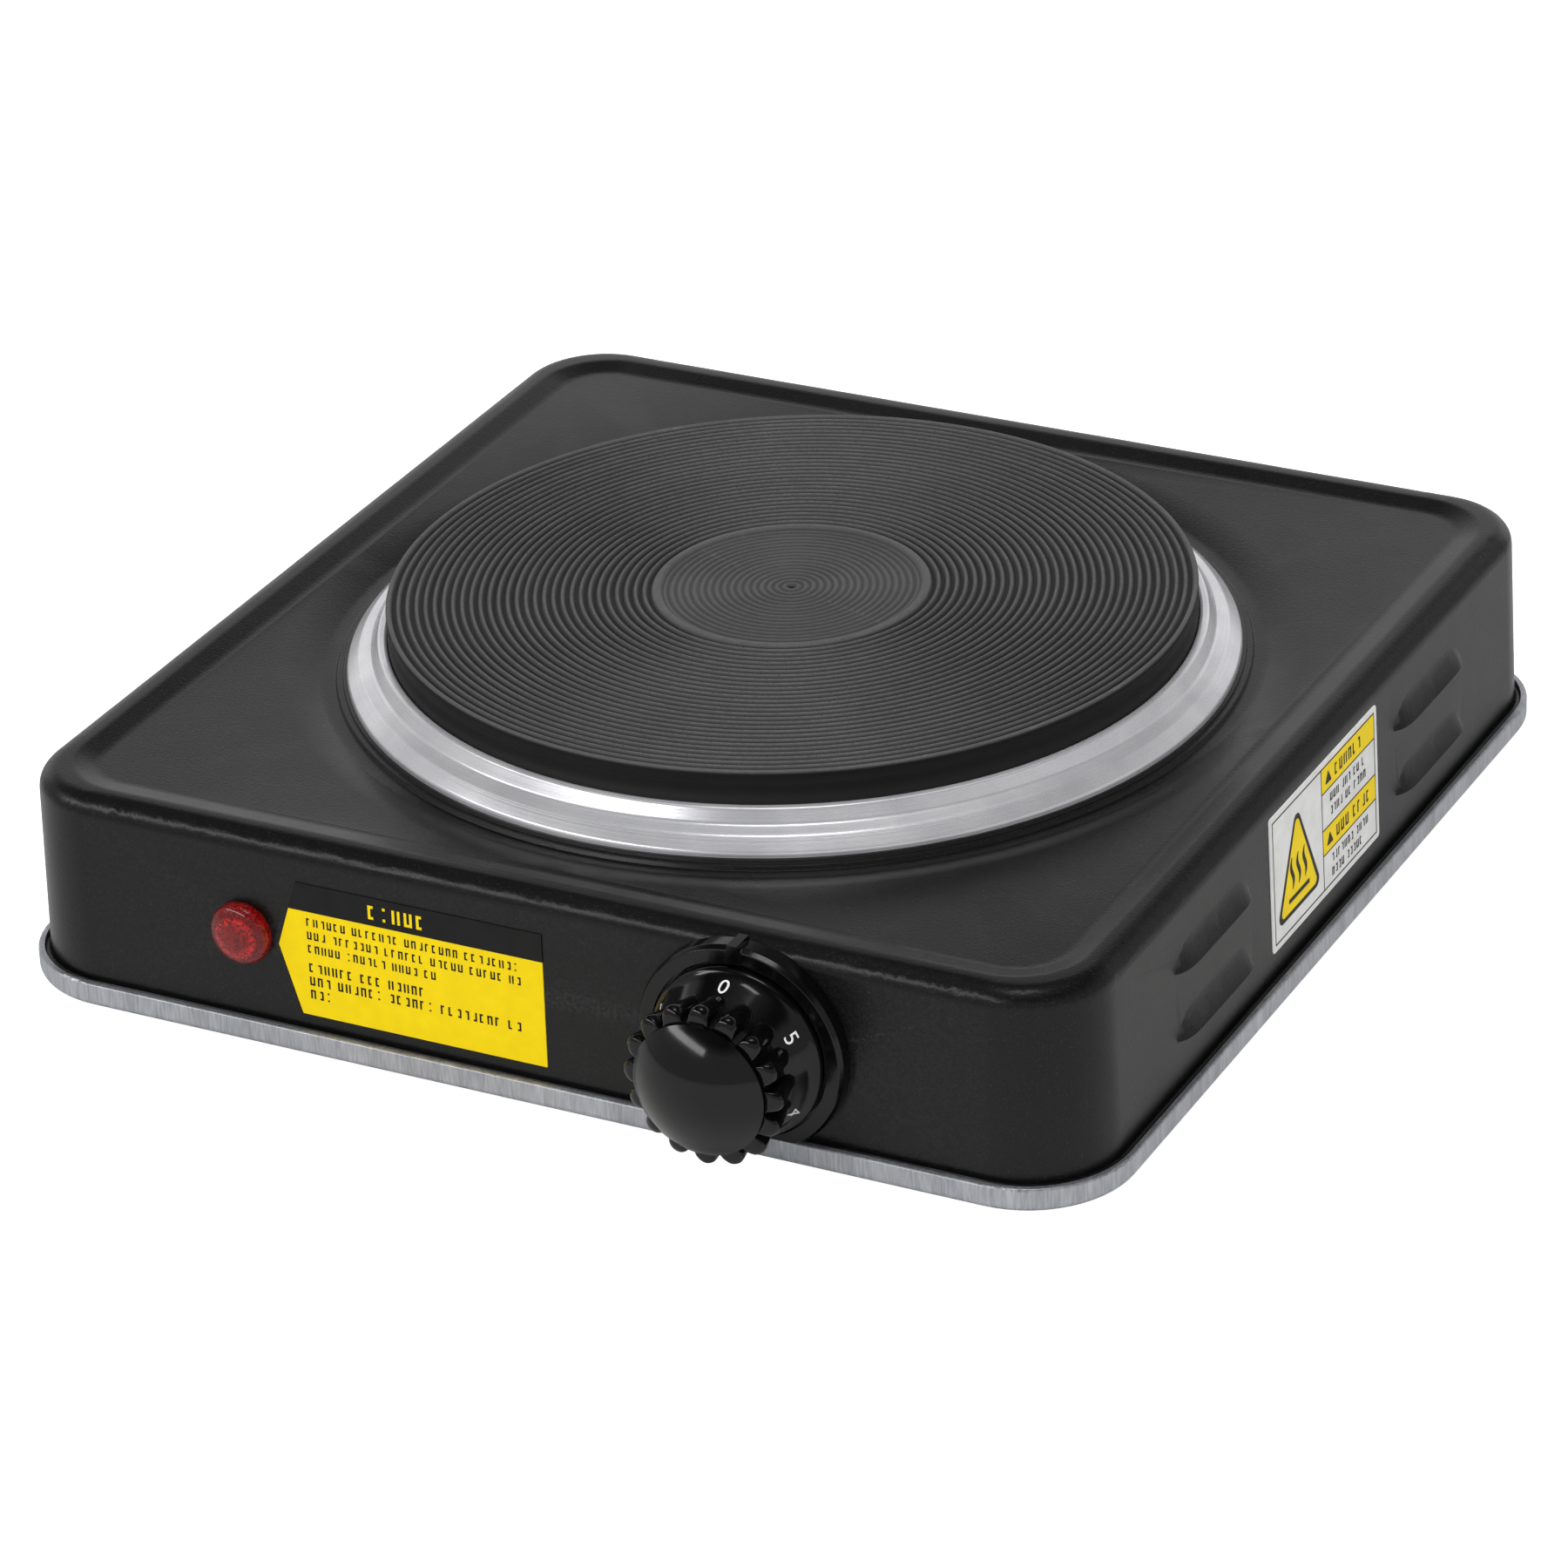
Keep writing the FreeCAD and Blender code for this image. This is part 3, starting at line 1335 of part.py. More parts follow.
def build_block_inserts():
    """Brass tubes in the block's ways."""
    tubes = []
    for i in range(block_ways):
        x = way_x(i)
        half = block_size[1] / 2 - block_tube_inset
        start, end = V(x, block_y - half, z_way), V(x, block_y + half, z_way)
        insert = rod(block_tube_r, start, end).cut(rod(block_bore_r, start, end))
        for side in (-1, 1):
            y = block_y + side * terminal_offset
            insert = insert.cut(rod(terminal_tip_r, V(x, y, z_way), V(x, y, z_way + 2 * block_tube_r)))
        tubes.append(insert)
    return Part.makeCompound(tubes)


def build_block_screw():
    """Screw up through the base pan that holds the block."""
    low = z_pan - screw_head_height
    head = rod(screw_head_r, V(block_screw_x, block_y, low), V(block_screw_x, block_y, z_pan))
    top = z_floor + block_size[2] - block_screw_top
    shank = rod(screw_r, V(block_screw_x, block_y, z_pan), V(block_screw_x, block_y, top))
    slot = block(block_screw_x - screw_head_r, block_screw_x + screw_head_r, block_y - slot_half, block_y + slot_half,
                 low - 1, low + slot_depth)
    return head.fuse(shank).cut(slot)


def build_terminal_screws():
    screws = []
    top = z_floor + block_size[2] - terminal_top_gap
    head = z_way + terminal_tip - terminal_overlap
    for i in range(block_ways):
        for side in (-1, 1):
            x, y = way_x(i), block_y + side * terminal_offset
            screw = rod(terminal_tip_r, V(x, y, z_way + wire_r), V(x, y, z_way + terminal_tip))
            screw = screw.fuse(rod(block_screw_r, V(x, y, head), V(x, y, top)))
            slot = block(x - block_screw_r, x + block_screw_r, y - slot_half, y + slot_half, top - slot_depth, top + 1)
            screws.append(screw.cut(slot))
    return Part.makeCompound(screws)


def earth_axis(low, high, r):
    """Upright rod on the earth screw's axis."""
    return rod(r, V(earth_x, earth_y, low), V(earth_x, earth_y, high))


def build_earth():
    """Earth screw up through the base pan, and its nut above the tag."""
    low = z_pan - earth_head
    head = earth_axis(low, z_pan, foot_screw_head_r)
    head = head.makeFillet(earth_edge_r, level_edges(head, low))
    reach = foot_screw_head_r
    slot = block(earth_x - reach, earth_x + reach, earth_y - slot_half, earth_y + slot_half, low - 1, low + slot_depth)
    screw = head.fuse(earth_axis(z_pan, z_floor + earth_shank, foot_screw_r)).cut(slot)
    nut = hexagon(earth_nut_flats, V(earth_x, earth_y, z_floor + earth_tag), earth_nut_height)
    return screw, nut.cut(earth_axis(0, z_border, foot_screw_r))


z_earth = z_floor + earth_wire_height


def build_earth_tag():
    """Ring tag with a short barrel that holds the earth wire."""
    top = z_floor + earth_tag
    tag = earth_axis(z_floor, top, earth_eye_r)
    neck = block(earth_x, earth_x + earth_neck, earth_y - earth_neck_half, earth_y + earth_neck_half, z_floor, top)
    start, end = earth_barrel
    barrel = rod(earth_barrel_r, V(earth_x + start, earth_y, z_earth), V(earth_x + end, earth_y, z_earth))
    bore = rod(wire_r, V(earth_x + earth_barrel_floor, earth_y, z_earth), V(earth_x + end + 1, earth_y, z_earth))
    tag = tag.fuse(neck).fuse(barrel).cut(bore)
    return tag.cut(earth_axis(0, z_border, foot_screw_r)).removeSplitter()


tab_tip_x = knob_x - stack_offset - stack_r - tab_length - tab_root
tab_a = (tab_tip_x, -face_y - sum(depths["leaf_a"]) / 2, row_height + tab_offset)
tab_b = (tab_tip_x, -face_y - sum(depths["leaf_b"]) / 2, row_height - tab_offset)
pin_tabs = [(x - tab_length - blade_reach, y, z_pin_end - sleeve_overhang) for x, y in lead_places()]


def receptacle(tip):
    """Push-on receptacle over a blade tab that points to -X; the wire leaves from its far end."""
    length, width, thick = receptacle_size
    x, y, z = tip
    back = x - receptacle_past_tip
    body = block(back, back + length, y - thick / 2, y + thick / 2, z - width / 2, z + width / 2)
    half = tab_sheet / 2 + receptacle_fit
    tall = tab_width / 2 + receptacle_fit
    slot = block(x, x + length, y - half, y + half, z - tall, z + tall)
    end = back - receptacle_barrel
    barrel = rod(wire_r + receptacle_wall, V(end, y, z), V(back, y, z))
    body = body.fuse(barrel).cut(slot)
    return body.cut(rod(wire_r, V(end - 1, y, z), V(x - wire_grip, y, z)))


def wire_end(tip):
    """Where a wire ends inside a receptacle's barrel, and a point straight out from it."""
    x, y, z = tip
    return [(x - wire_grip, y, z), (x - 14.0, y, z)]


def block_end(i):
    """Where a wire ends inside the block, and a point straight out from it."""
    x = way_x(i) + 0.8
    y = block_y - block_size[1] / 2
    return [(x, y + 4.0, z_way), (x, y - 8.0, z_way)]


def build_wires():
    """Insulated single wires, each from end to end along its own route."""
    wires = {}
    front = block_y - block_size[1] / 2
    x, y, z = tab_a
    live = block_end(2) + [(-47.0, 28.0, z_way - 2.0), (-45.0, -8.0, z_way - 3.4), (-44.0, -42.0, z_way - 2.0),
                           (-34.0, -71.0, z_way + 5.0), (x - 26.0, y + 4.0, z - 3.0)]
    wires["live_wire"] = tube(live + list(reversed(wire_end(tab_a))), wire_r)
    x, y, z = tab_b
    switched = wire_end(tab_b) + [(-15.0, -80.0, z - 3.0), (-25.0, -52.0, z),
                                  (-29.0, -18.0, z + 1.5), (-28.0, 10.0, z + 5.0)]
    wires["heater_wire"] = tube(switched + list(reversed(wire_end(pin_tabs[0]))), wire_r)
    x, y, z = pin_tabs[1]
    neutral = block_end(1) + [(way_x(1) + 4.0, front - 18.0, z_way + 6.0), (x - 28.0, y - 10.0, z - 4.0)]
    wires["neutral_wire"] = tube(neutral + list(reversed(wire_end(pin_tabs[1]))), wire_r)
    x = way_x(0)
    earth = block_end(0) + [(x - 0.6, front - 13.0, z_way - 2.6), (earth_x + 17.0, earth_y, z_earth),
                            (earth_x + earth_barrel_floor, earth_y, z_earth)]
    wires["earth_wire"] = tube(earth, wire_r)
    return wires


def build_lamp_leads():
    """The pilot lamp's two thin leads, to the heater wire's receptacle and to the block's neutral way."""
    back = -face_y + sheet + lamp_body_gap + lamp_body_length - lamp_body_base
    z = row_height
    end = (tab_b[0] - wire_grip, tab_b[1], tab_b[2] - wire_r - receptacle_wall - lead_r)
    near, far = lamp_x + lamp_lead_spread, lamp_x - lamp_lead_spread
    heater = [(near, back, z), (near, back + 10.0, z), (lamp_x + 12.0, back + 20.0, z - 7.0),
              (-27.0, -83.0, z - 12.0), (-11.0, -93.0, z - 10.0), (end[0] - 7.0, end[1], end[2]), end]
    x = way_x(1) - 1.4
    y = block_y - block_size[1] / 2
    neutral = [(far, back, z), (far, back + 14.0, z), (lamp_x - 9.0, back + 40.0, z - 12.0),
               (lamp_x - 10.0, -20.0, z_floor + 3.0), (lamp_x - 2.0, 18.0, z_floor + 4.0),
               (x - 3.0, y - 16.0, z_way + 1.0), (x, y - 5.0, z_way), (x, y + 4.0, z_way)]
    return heater, neutral


def main():
    os.makedirs("parts", exist_ok=True)
    inner = inner_form()
    outer = closed_outer()
    housing = build_housing(outer, inner)
    save("housing", housing)
    save("base_pan", build_pan())
    feet = ("foot_left_front", "foot_left_back", "foot_right_front", "foot_right_back")
    for name, foot in zip(feet, build_feet()):
        save(name, foot)
    save("foot_screws", build_foot_screws())
    save("corner_brackets", build_brackets(inner))
    save("hotplate", build_plate())
    save("spill_ring", build_ring())
    save("heating_coil", build_coil())
    save("coil_insulation", build_insulation())
    save("plate_back_cover", build_cover())
    save("lead_bushes", build_lead_bushes())
    save("element_tabs", build_pin_tabs())
    save("centre_stud", build_stud())
    save("cover_nut", build_cover_nut())
    save("clamp_bar", build_bar())
    save("stud_washer", build_washer())
    save("stud_nut", build_stud_nut())
    save("knob_bezel", build_bezel())
    save("control_screws", build_control_screws())
    save("knob", build_knob())
    save("knob_clip", build_knob_clip())
    save("control_shaft", build_shaft())
    save("shaft_ring", build_shaft_ring())
    save("thermostat_frame", build_frame(inner))
    save("stack_insulators", build_insulators())
    save("fixed_leaf", leaf("leaf_a", 1, stack_offset + leaf_past_axis))
    save("moving_leaf", leaf("leaf_b", -1, stack_offset + leaf_past_axis))
    save("bimetal_strip", leaf("bimetal", 0, stack_offset + strip_past_axis))
    save("switch_contacts", build_contacts())
    save("stack_rivet", build_stack_rivet())
    save("lamp_lens", build_lens())
    save("lamp_clip", build_lamp_clip(inner))
    save("lamp_holder", build_lamp_body())
    save("neon_bulb", build_bulb())
    save("front_label", build_front_label())
    save("side_label", build_side_label())
    save("rating_label", build_rating_label())
    save("cord_gland", build_gland(housing))
    save("terminal_block", build_block())
    save("terminal_tubes", build_block_inserts())
    save("terminal_screws", build_terminal_screws())
    save("block_screw", build_block_screw())
    screw, nut = build_earth()
    save("earth_screw", screw)
    save("earth_nut", nut)
    save("earth_tag", build_earth_tag())
    receptacles = [receptacle(tip) for tip in [tab_a, tab_b] + pin_tabs]
    save("wire_receptacles", Part.makeCompound(receptacles))
    for name, wire in build_wires().items():
        save(name, wire)
    lead_a, lead_b = build_lamp_leads()
    save("lamp_lead_heater", tube(lead_a, lead_r))
    save("lamp_lead_neutral", tube(lead_b, lead_r))


main()
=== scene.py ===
import json
import math
import random

import bmesh
import bpy
from mathutils import Matrix, Vector


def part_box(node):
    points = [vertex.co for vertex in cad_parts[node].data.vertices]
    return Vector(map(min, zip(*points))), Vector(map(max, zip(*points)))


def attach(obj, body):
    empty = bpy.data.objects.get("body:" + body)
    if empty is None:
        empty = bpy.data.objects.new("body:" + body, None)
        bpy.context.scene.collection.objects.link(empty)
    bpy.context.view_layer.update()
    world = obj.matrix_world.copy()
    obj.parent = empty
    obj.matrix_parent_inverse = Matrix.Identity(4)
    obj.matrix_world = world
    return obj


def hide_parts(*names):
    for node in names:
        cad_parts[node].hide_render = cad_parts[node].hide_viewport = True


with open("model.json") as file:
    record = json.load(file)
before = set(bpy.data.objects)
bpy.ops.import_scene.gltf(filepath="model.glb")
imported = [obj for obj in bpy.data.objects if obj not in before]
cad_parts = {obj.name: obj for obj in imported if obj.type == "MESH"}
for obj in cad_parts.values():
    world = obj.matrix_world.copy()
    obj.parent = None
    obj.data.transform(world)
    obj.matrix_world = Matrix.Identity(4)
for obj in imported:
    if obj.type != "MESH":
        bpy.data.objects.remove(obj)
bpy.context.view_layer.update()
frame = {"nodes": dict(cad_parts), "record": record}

MM = 0.001

# ---- where things are ----
plate_low, plate_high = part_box("hotplate")
ring_low, ring_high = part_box("spill_ring")
pan_low, pan_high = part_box("base_pan")
knob_low, knob_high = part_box("knob")
bezel_low, bezel_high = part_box("knob_bezel")
lens_low, lens_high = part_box("lamp_lens")
front_label_low, front_label_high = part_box("front_label")
side_label_low, side_label_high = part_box("side_label")

plate_centre = (plate_low + plate_high) / 2
plate_radius = (plate_high.x - plate_low.x) / 2
knob_axis = Vector(((knob_low.x + knob_high.x) / 2, 0, (knob_low.z + knob_high.z) / 2))
lens_axis = Vector(((lens_low.x + lens_high.x) / 2, 0, (lens_low.z + lens_high.z) / 2))
label_foil = 0.2 * MM


# ---- camera, floor and light ----
def make_camera():
    """Long lens, looking down on the front right corner."""
    azimuth, elevation, roll = (math.radians(a) for a in (28.164, 27.625, -2.63))
    distance, right_shift, up_shift = 1.2989, -0.003634, 0.009787
    forward = Vector((-math.sin(azimuth) * math.cos(elevation),
                      math.cos(azimuth) * math.cos(elevation), -math.sin(elevation)))
    level = Vector((math.cos(azimuth), math.sin(azimuth), 0))
    above = level.cross(forward)
    right = level * math.cos(roll) + above * math.sin(roll)
    up = above * math.cos(roll) - level * math.sin(roll)
    target = Vector((plate_centre.x, plate_centre.y, pan_low.z))
    data = bpy.data.cameras.new("camera")
    data.lens = 153.37
    data.sensor_width = 36
    camera = bpy.data.objects.new("camera", data)
    turn = Matrix((right, up, -forward)).transposed().to_4x4()
    place = target - forward * distance + right * right_shift + up * up_shift
    camera.matrix_world = Matrix.Translation(place) @ turn
    bpy.context.scene.collection.objects.link(camera)
    bpy.context.scene.camera = camera


def soft_light(name, place, aim, width, height, watts, mirrored=True):
    """Rectangular light; one that isn't mirrored brightens surfaces and shows in none."""
    data = bpy.data.lights.new(name, "AREA")
    data.shape = "RECTANGLE"
    data.size = width
    data.size_y = height
    data.energy = watts
    lamp = bpy.data.objects.new(name, data)
    lamp.location = place
    lamp.visible_glossy = mirrored
    lamp.rotation_euler = (Vector(aim) - Vector(place)).to_track_quat("-Z", "Y").to_euler()
    bpy.context.scene.collection.objects.link(lamp)


def make_studio():
    """White sweep, a wide light overhead and two smaller ones."""
    bpy.context.scene.view_settings.view_transform = "Standard"
    mesh = bpy.data.meshes.new("floor")
    half = 8.0
    corners = [(-half, -half, 0), (half, -half, 0), (half, half, 0), (-half, half, 0)]
    mesh.from_pydata(corners, [], [(0, 1, 2, 3)])
    floor = bpy.data.objects.new("floor", mesh)
    bpy.context.scene.collection.objects.link(floor)
    material, tree, shader = new_material("floor_paper")
    shader.inputs["Roughness"].default_value = 0.9
    shader.inputs["Specular IOR Level"].default_value = 0.0
    shader.inputs["Emission Strength"].default_value = 0.9
    seen = add(tree, "ShaderNodeLightPath").outputs["Is Camera Ray"]
    link(tree, seen, shader.inputs["Emission Color"])
    grain = shared(tree, "cloudy", Size=40.0, Low=0.58, High=0.60)
    link(tree, even_grey(tree, grain["Value"]), shader.inputs["Base Color"])
    mesh.materials.append(material)

    soft_light("overhead", (0.15, -0.05, 1.4), (0, 0, 0), 0.9, 0.9, 14, mirrored=False)
    soft_light("top_strip", (0.1, -0.3, 1.4), (0, 0, 0), 0.5, 0.25, 2)
    soft_light("front_left", (-0.75, -1.0, 0.85), (0, 0, 0.02), 1.6, 0.2, 6)
    soft_light("right_side", (1.5, 0.15, 0.5), (0, 0, 0.02), 0.6, 0.6, 2, mirrored=False)
    soft_light("front_fill", (0.9, -1.3, 0.7), (0, 0, 0.02), 0.6, 0.6, 9, mirrored=False)
    soft_light("back_card", (-0.24, 0.46, 0.18), (0, 0, 0.08), 1.3, 0.32, 0.6)

    world = bpy.data.worlds.new("studio")
    world.use_nodes = True
    tree = world.node_tree
    coordinates = add(tree, "ShaderNodeTexCoord")
    height = add(tree, "ShaderNodeSeparateXYZ", vector=coordinates.outputs["Generated"])
    ramp = add(tree, "ShaderNodeValToRGB", fac=height.outputs["Z"])
    stops = ((0.0, 0.8), (0.50, 0.8), (0.58, 0.3), (0.66, 0.05), (0.8, 0.08), (1.0, 0.5))
    set_ramp(ramp, [(at, grey(value)) for at, value in stops])
    background = tree.nodes["Background"]
    link(tree, ramp.outputs["Color"], background.inputs["Color"])
    background.inputs["Strength"].default_value = 0.5
    bpy.context.scene.world = world


# ---- building shaders ----
def new_material(name):
    """An empty material, its tree and its Principled shader."""
    material = bpy.data.materials.new(name)
    material.use_nodes = True
    tree = material.node_tree
    return material, tree, tree.nodes["Principled BSDF"]


def link(tree, source, target):
    tree.links.new(source, target)


def add(tree, kind, settings=None, **inputs):
    """A node with its settings, and its sockets set or linked by name.

    On a maths node the names a, b and c are its first three sockets.
    """
    node = tree.nodes.new(kind)
    for key, value in (settings or {}).items():
        setattr(node, key, value)
    for key, value in inputs.items():
        if key in ("a", "b", "c") and kind in ("ShaderNodeMath", "ShaderNodeVectorMath"):
            socket = node.inputs["abc".index(key)]
        else:
            named = [s for s in node.inputs if s.enabled and s.name.lower().replace(" ", "_") == key]
            socket = named[0]
        if isinstance(value, bpy.types.NodeSocket):
            tree.links.new(value, socket)
        else:
            socket.default_value = value
    return node


def maths(tree, operation, a, b=0.0, clamp=False):
    node = add(tree, "ShaderNodeMath", {"operation": operation, "use_clamp": clamp}, a=a, b=b)
    return node.outputs[0]


def blend_colour(tree, factor, first, second):
    """Colour that goes from first to second as factor goes from 0 to 1."""
    node = add(tree, "ShaderNodeMix", {"data_type": "RGBA"}, factor=factor, a=first, b=second)
    return [s for s in node.outputs if s.enabled][0]


def spread(tree, value, low, high, new_low=0.0, new_high=1.0):
    node = add(tree, "ShaderNodeMapRange", None, value=value, from_min=low, from_max=high,
               to_min=new_low, to_max=new_high)
    return node.outputs[0]


def even_grey(tree, value):
    """Colour whose three parts are the same value."""
    node = add(tree, "ShaderNodeCombineColor", red=value, green=value, blue=value)
    return node.outputs[0]


def set_ramp(node, stops):
    elements = node.color_ramp.elements
    while len(elements) > 1:
        elements.remove(elements[-1])
    elements[0].position, elements[0].color = stops[0]
    for position, colour in stops[1:]:
        elements.new(position).color = colour


def grey(value):
    return (value, value, value, 1)


# ---- effects that several materials share ----
def group(name, inputs, outputs):
    """A new node group with float or vector inputs and named outputs."""
    tree = bpy.data.node_groups.new(name, "ShaderNodeTree")
    for label, value in inputs.items():
        kind = "NodeSocketVector" if isinstance(value, tuple) else "NodeSocketFloat"
        socket = tree.interface.new_socket(label, in_out="INPUT", socket_type=kind)
        socket.default_value = value
    for label, kind in outputs.items():
        tree.interface.new_socket(label, in_out="OUTPUT", socket_type="NodeSocket" + kind)
    start = tree.nodes.new("NodeGroupInput")
    end = tree.nodes.new("NodeGroupOutput")
    return tree, start.outputs, end.inputs


def shared(tree, name, **values):
    """One use of a shared effect in a material; returns its outputs."""
    node = tree.nodes.new("ShaderNodeGroup")
    node.node_tree = bpy.data.node_groups[name]
    for label, value in values.items():
        socket = node.inputs[label.replace("_", " ")]
        if isinstance(value, bpy.types.NodeSocket):
            tree.links.new(value, socket)
        else:
            socket.default_value = value
    return node.outputs


def place_in_mm(tree):
    """Position on the object in millimetres."""
    coordinates = add(tree, "ShaderNodeTexCoord")
    node = add(tree, "ShaderNodeVectorMath", {"operation": "SCALE"}, a=coordinates.outputs["Object"])
    node.inputs["Scale"].default_value = 1 / MM
    return node.outputs[0]


def raise_surface(tree, relief, height, normal):
    """Bump of that height in millimetres, linked to the normal socket."""
    drop = maths(tree, "MULTIPLY", height, MM)
    bump = add(tree, "ShaderNodeBump", None, height=relief, distance=drop)
    link(tree, bump.outputs["Normal"], normal)


def distance_in_mm(tree, centre, across):
    """Distance from centre, counting only the directions that across has as 1."""
    away = add(tree, "ShaderNodeVectorMath", {"operation": "SUBTRACT"}, a=place_in_mm(tree), b=centre)
    flat = add(tree, "ShaderNodeVectorMath", {"operation": "MULTIPLY"}, a=away.outputs[0], b=across)
    return add(tree, "ShaderNodeVectorMath", {"operation": "LENGTH"}, a=flat.outputs[0]).outputs["Value"]


def make_cloudy():
    """Slow change between two values; Size is in millimetres."""
    tree, given, made = group("cloudy", {"Size": 20.0, "Low": 0.0, "High": 1.0}, {"Value": "Float"})
    rate = maths(tree, "DIVIDE", 1.0, given["Size"])
    noise = add(tree, "ShaderNodeTexNoise", None, vector=place_in_mm(tree), scale=rate, detail=3.0)
    value = add(tree, "ShaderNodeMapRange", None, value=noise.outputs[0], from_min=0.3, from_max=0.7,
                to_min=given["Low"], to_max=given["High"])
    link(tree, value.outputs[0], made["Value"])


def make_speckle():
    """Small scattered spots; Size in millimetres, Share is how much of the surface they take."""
    tree, given, made = group("speckle", {"Size": 0.5, "Share": 0.2}, {"Mask": "Float"})
    rate = maths(tree, "DIVIDE", 1.0, given["Size"])
    noise = add(tree, "ShaderNodeTexNoise", None, vector=place_in_mm(tree), scale=rate, detail=1.0)
    edge = maths(tree, "SUBTRACT", 0.78, maths(tree, "MULTIPLY", given["Share"], 0.5))
    top = maths(tree, "ADD", edge, 0.1)
    value = add(tree, "ShaderNodeMapRange", None, value=noise.outputs[0], from_min=edge, from_max=top)
    link(tree, value.outputs[0], made["Mask"])


def make_ripple():
    """Orange peel: a fine rounded unevenness, Size and Height in millimetres."""
    tree, given, made = group("ripple", {"Size": 0.8, "Height": 0.01}, {"Normal": "Vector"})
    rate = maths(tree, "DIVIDE", 1.0, given["Size"])
    noise = add(tree, "ShaderNodeTexNoise", None, vector=place_in_mm(tree), scale=rate, detail=2.0)
    raise_surface(tree, noise.outputs[0], given["Height"], made["Normal"])


def make_turning():
    """Marks of a lathe round an upright axis at Centre (mm); Pitch is their spacing in millimetres."""
    tree, given, made = group("turning", {"Centre": (0.0, 0.0, 0.0), "Pitch": 0.3, "Height": 0.01},
                              {"Lines": "Float", "Normal": "Vector"})
    away = add(tree, "ShaderNodeVectorMath", {"operation": "SUBTRACT"}, a=place_in_mm(tree), b=given["Centre"])
    parts = add(tree, "ShaderNodeSeparateXYZ", vector=away.outputs[0])
    x2 = maths(tree, "MULTIPLY", parts.outputs["X"], parts.outputs["X"])
    y2 = maths(tree, "MULTIPLY", parts.outputs["Y"], parts.outputs["Y"])
    radius = maths(tree, "SQRT", maths(tree, "ADD", x2, y2))
    across = maths(tree, "DIVIDE", maths(tree, "SUBTRACT", radius, parts.outputs["Z"]), given["Pitch"])
    noise = add(tree, "ShaderNodeTexNoise", {"noise_dimensions": "1D"}, w=across, scale=1.0, detail=2.0)
    link(tree, noise.outputs[0], made["Lines"])
    raise_surface(tree, noise.outputs[0], given["Height"], made["Normal"])


def make_streaks():
    """Rolling or drawing marks: noise drawn out along the axes where Stretch is small."""
    tree, given, made = group("streaks", {"Stretch": (1.0, 1.0, 0.05), "Size": 0.4, "Height": 0.01},
                              {"Lines": "Float", "Normal": "Vector"})
    place = add(tree, "ShaderNodeVectorMath", {"operation": "MULTIPLY"}, a=place_in_mm(tree), b=given["Stretch"])
    rate = maths(tree, "DIVIDE", 1.0, given["Size"])
    noise = add(tree, "ShaderNodeTexNoise", None, vector=place.outputs[0], scale=rate, detail=3.0)
    link(tree, noise.outputs[0], made["Lines"])
    raise_surface(tree, noise.outputs[0], given["Height"], made["Normal"])


def make_wear():
    """Mask of outer edges, where a finish rubs thin."""
    tree, given, made = group("wear", {"Start": 0.52, "End": 0.6}, {"Mask": "Float"})
    geometry = add(tree, "ShaderNodeNewGeometry")
    value = add(tree, "ShaderNodeMapRange", None, value=geometry.outputs["Pointiness"],
                from_min=given["Start"], from_max=given["End"])
    noise = add(tree, "ShaderNodeTexNoise", None, vector=place_in_mm(tree), scale=1.2, detail=3.0)
    broken = spread(tree, noise.outputs[0], 0.4, 0.6)
    link(tree, maths(tree, "MULTIPLY", value.outputs[0], broken), made["Mask"])


# ---- materials ----
def black_enamel():
    """Baked black enamel with a fine peel and a scatter of light specks."""
    material, tree, shader = new_material("black_enamel")
    specks = shared(tree, "speckle", Size=0.35, Share=0.32)["Mask"]
    tone = shared(tree, "cloudy", Size=30.0, Low=0.0, High=1.0)["Value"]
    base = blend_colour(tree, tone, grey(0.003), grey(0.0045))
    base = blend_colour(tree, specks, base, grey(0.016))
    wear = shared(tree, "wear", Start=0.56, End=0.66)["Mask"]
    base = blend_colour(tree, wear, base, grey(0.02))
    link(tree, base, shader.inputs["Base Color"])
    rough = shared(tree, "cloudy", Size=9.0, Low=0.27, High=0.31)["Value"]
    link(tree, rough, shader.inputs["Roughness"])
    shader.inputs["Specular IOR Level"].default_value = 0.32
    link(tree, shared(tree, "ripple", Size=0.55, Height=0.035)["Normal"], shader.inputs["Normal"])
    return material


def bright_steel():
    """Bright rolled sheet with a fine upright grain."""
    material, tree, shader = new_material("bright_steel")
    lines = shared(tree, "streaks", Stretch=(1.0, 1.0, 0.10), Size=0.45, Height=0.02)
    broad = shared(tree, "streaks", Stretch=(1.0, 1.0, 0.15), Size=3.0, Height=0.0)
    tone = maths(tree, "ADD", maths(tree, "MULTIPLY", lines["Lines"], 0.6),
                 maths(tree, "MULTIPLY", broad["Lines"], 0.4))
    colour = blend_colour(tree, spread(tree, tone, 0.35, 0.65), (0.36, 0.37, 0.40, 1), (0.62, 0.63, 0.67, 1))
    link(tree, colour, shader.inputs["Base Color"])
    shader.inputs["Metallic"].default_value = 0.85
    link(tree, spread(tree, lines["Lines"], 0.3, 0.7, 0.32, 0.5), shader.inputs["Roughness"])
    link(tree, lines["Normal"], shader.inputs["Normal"])
    return material


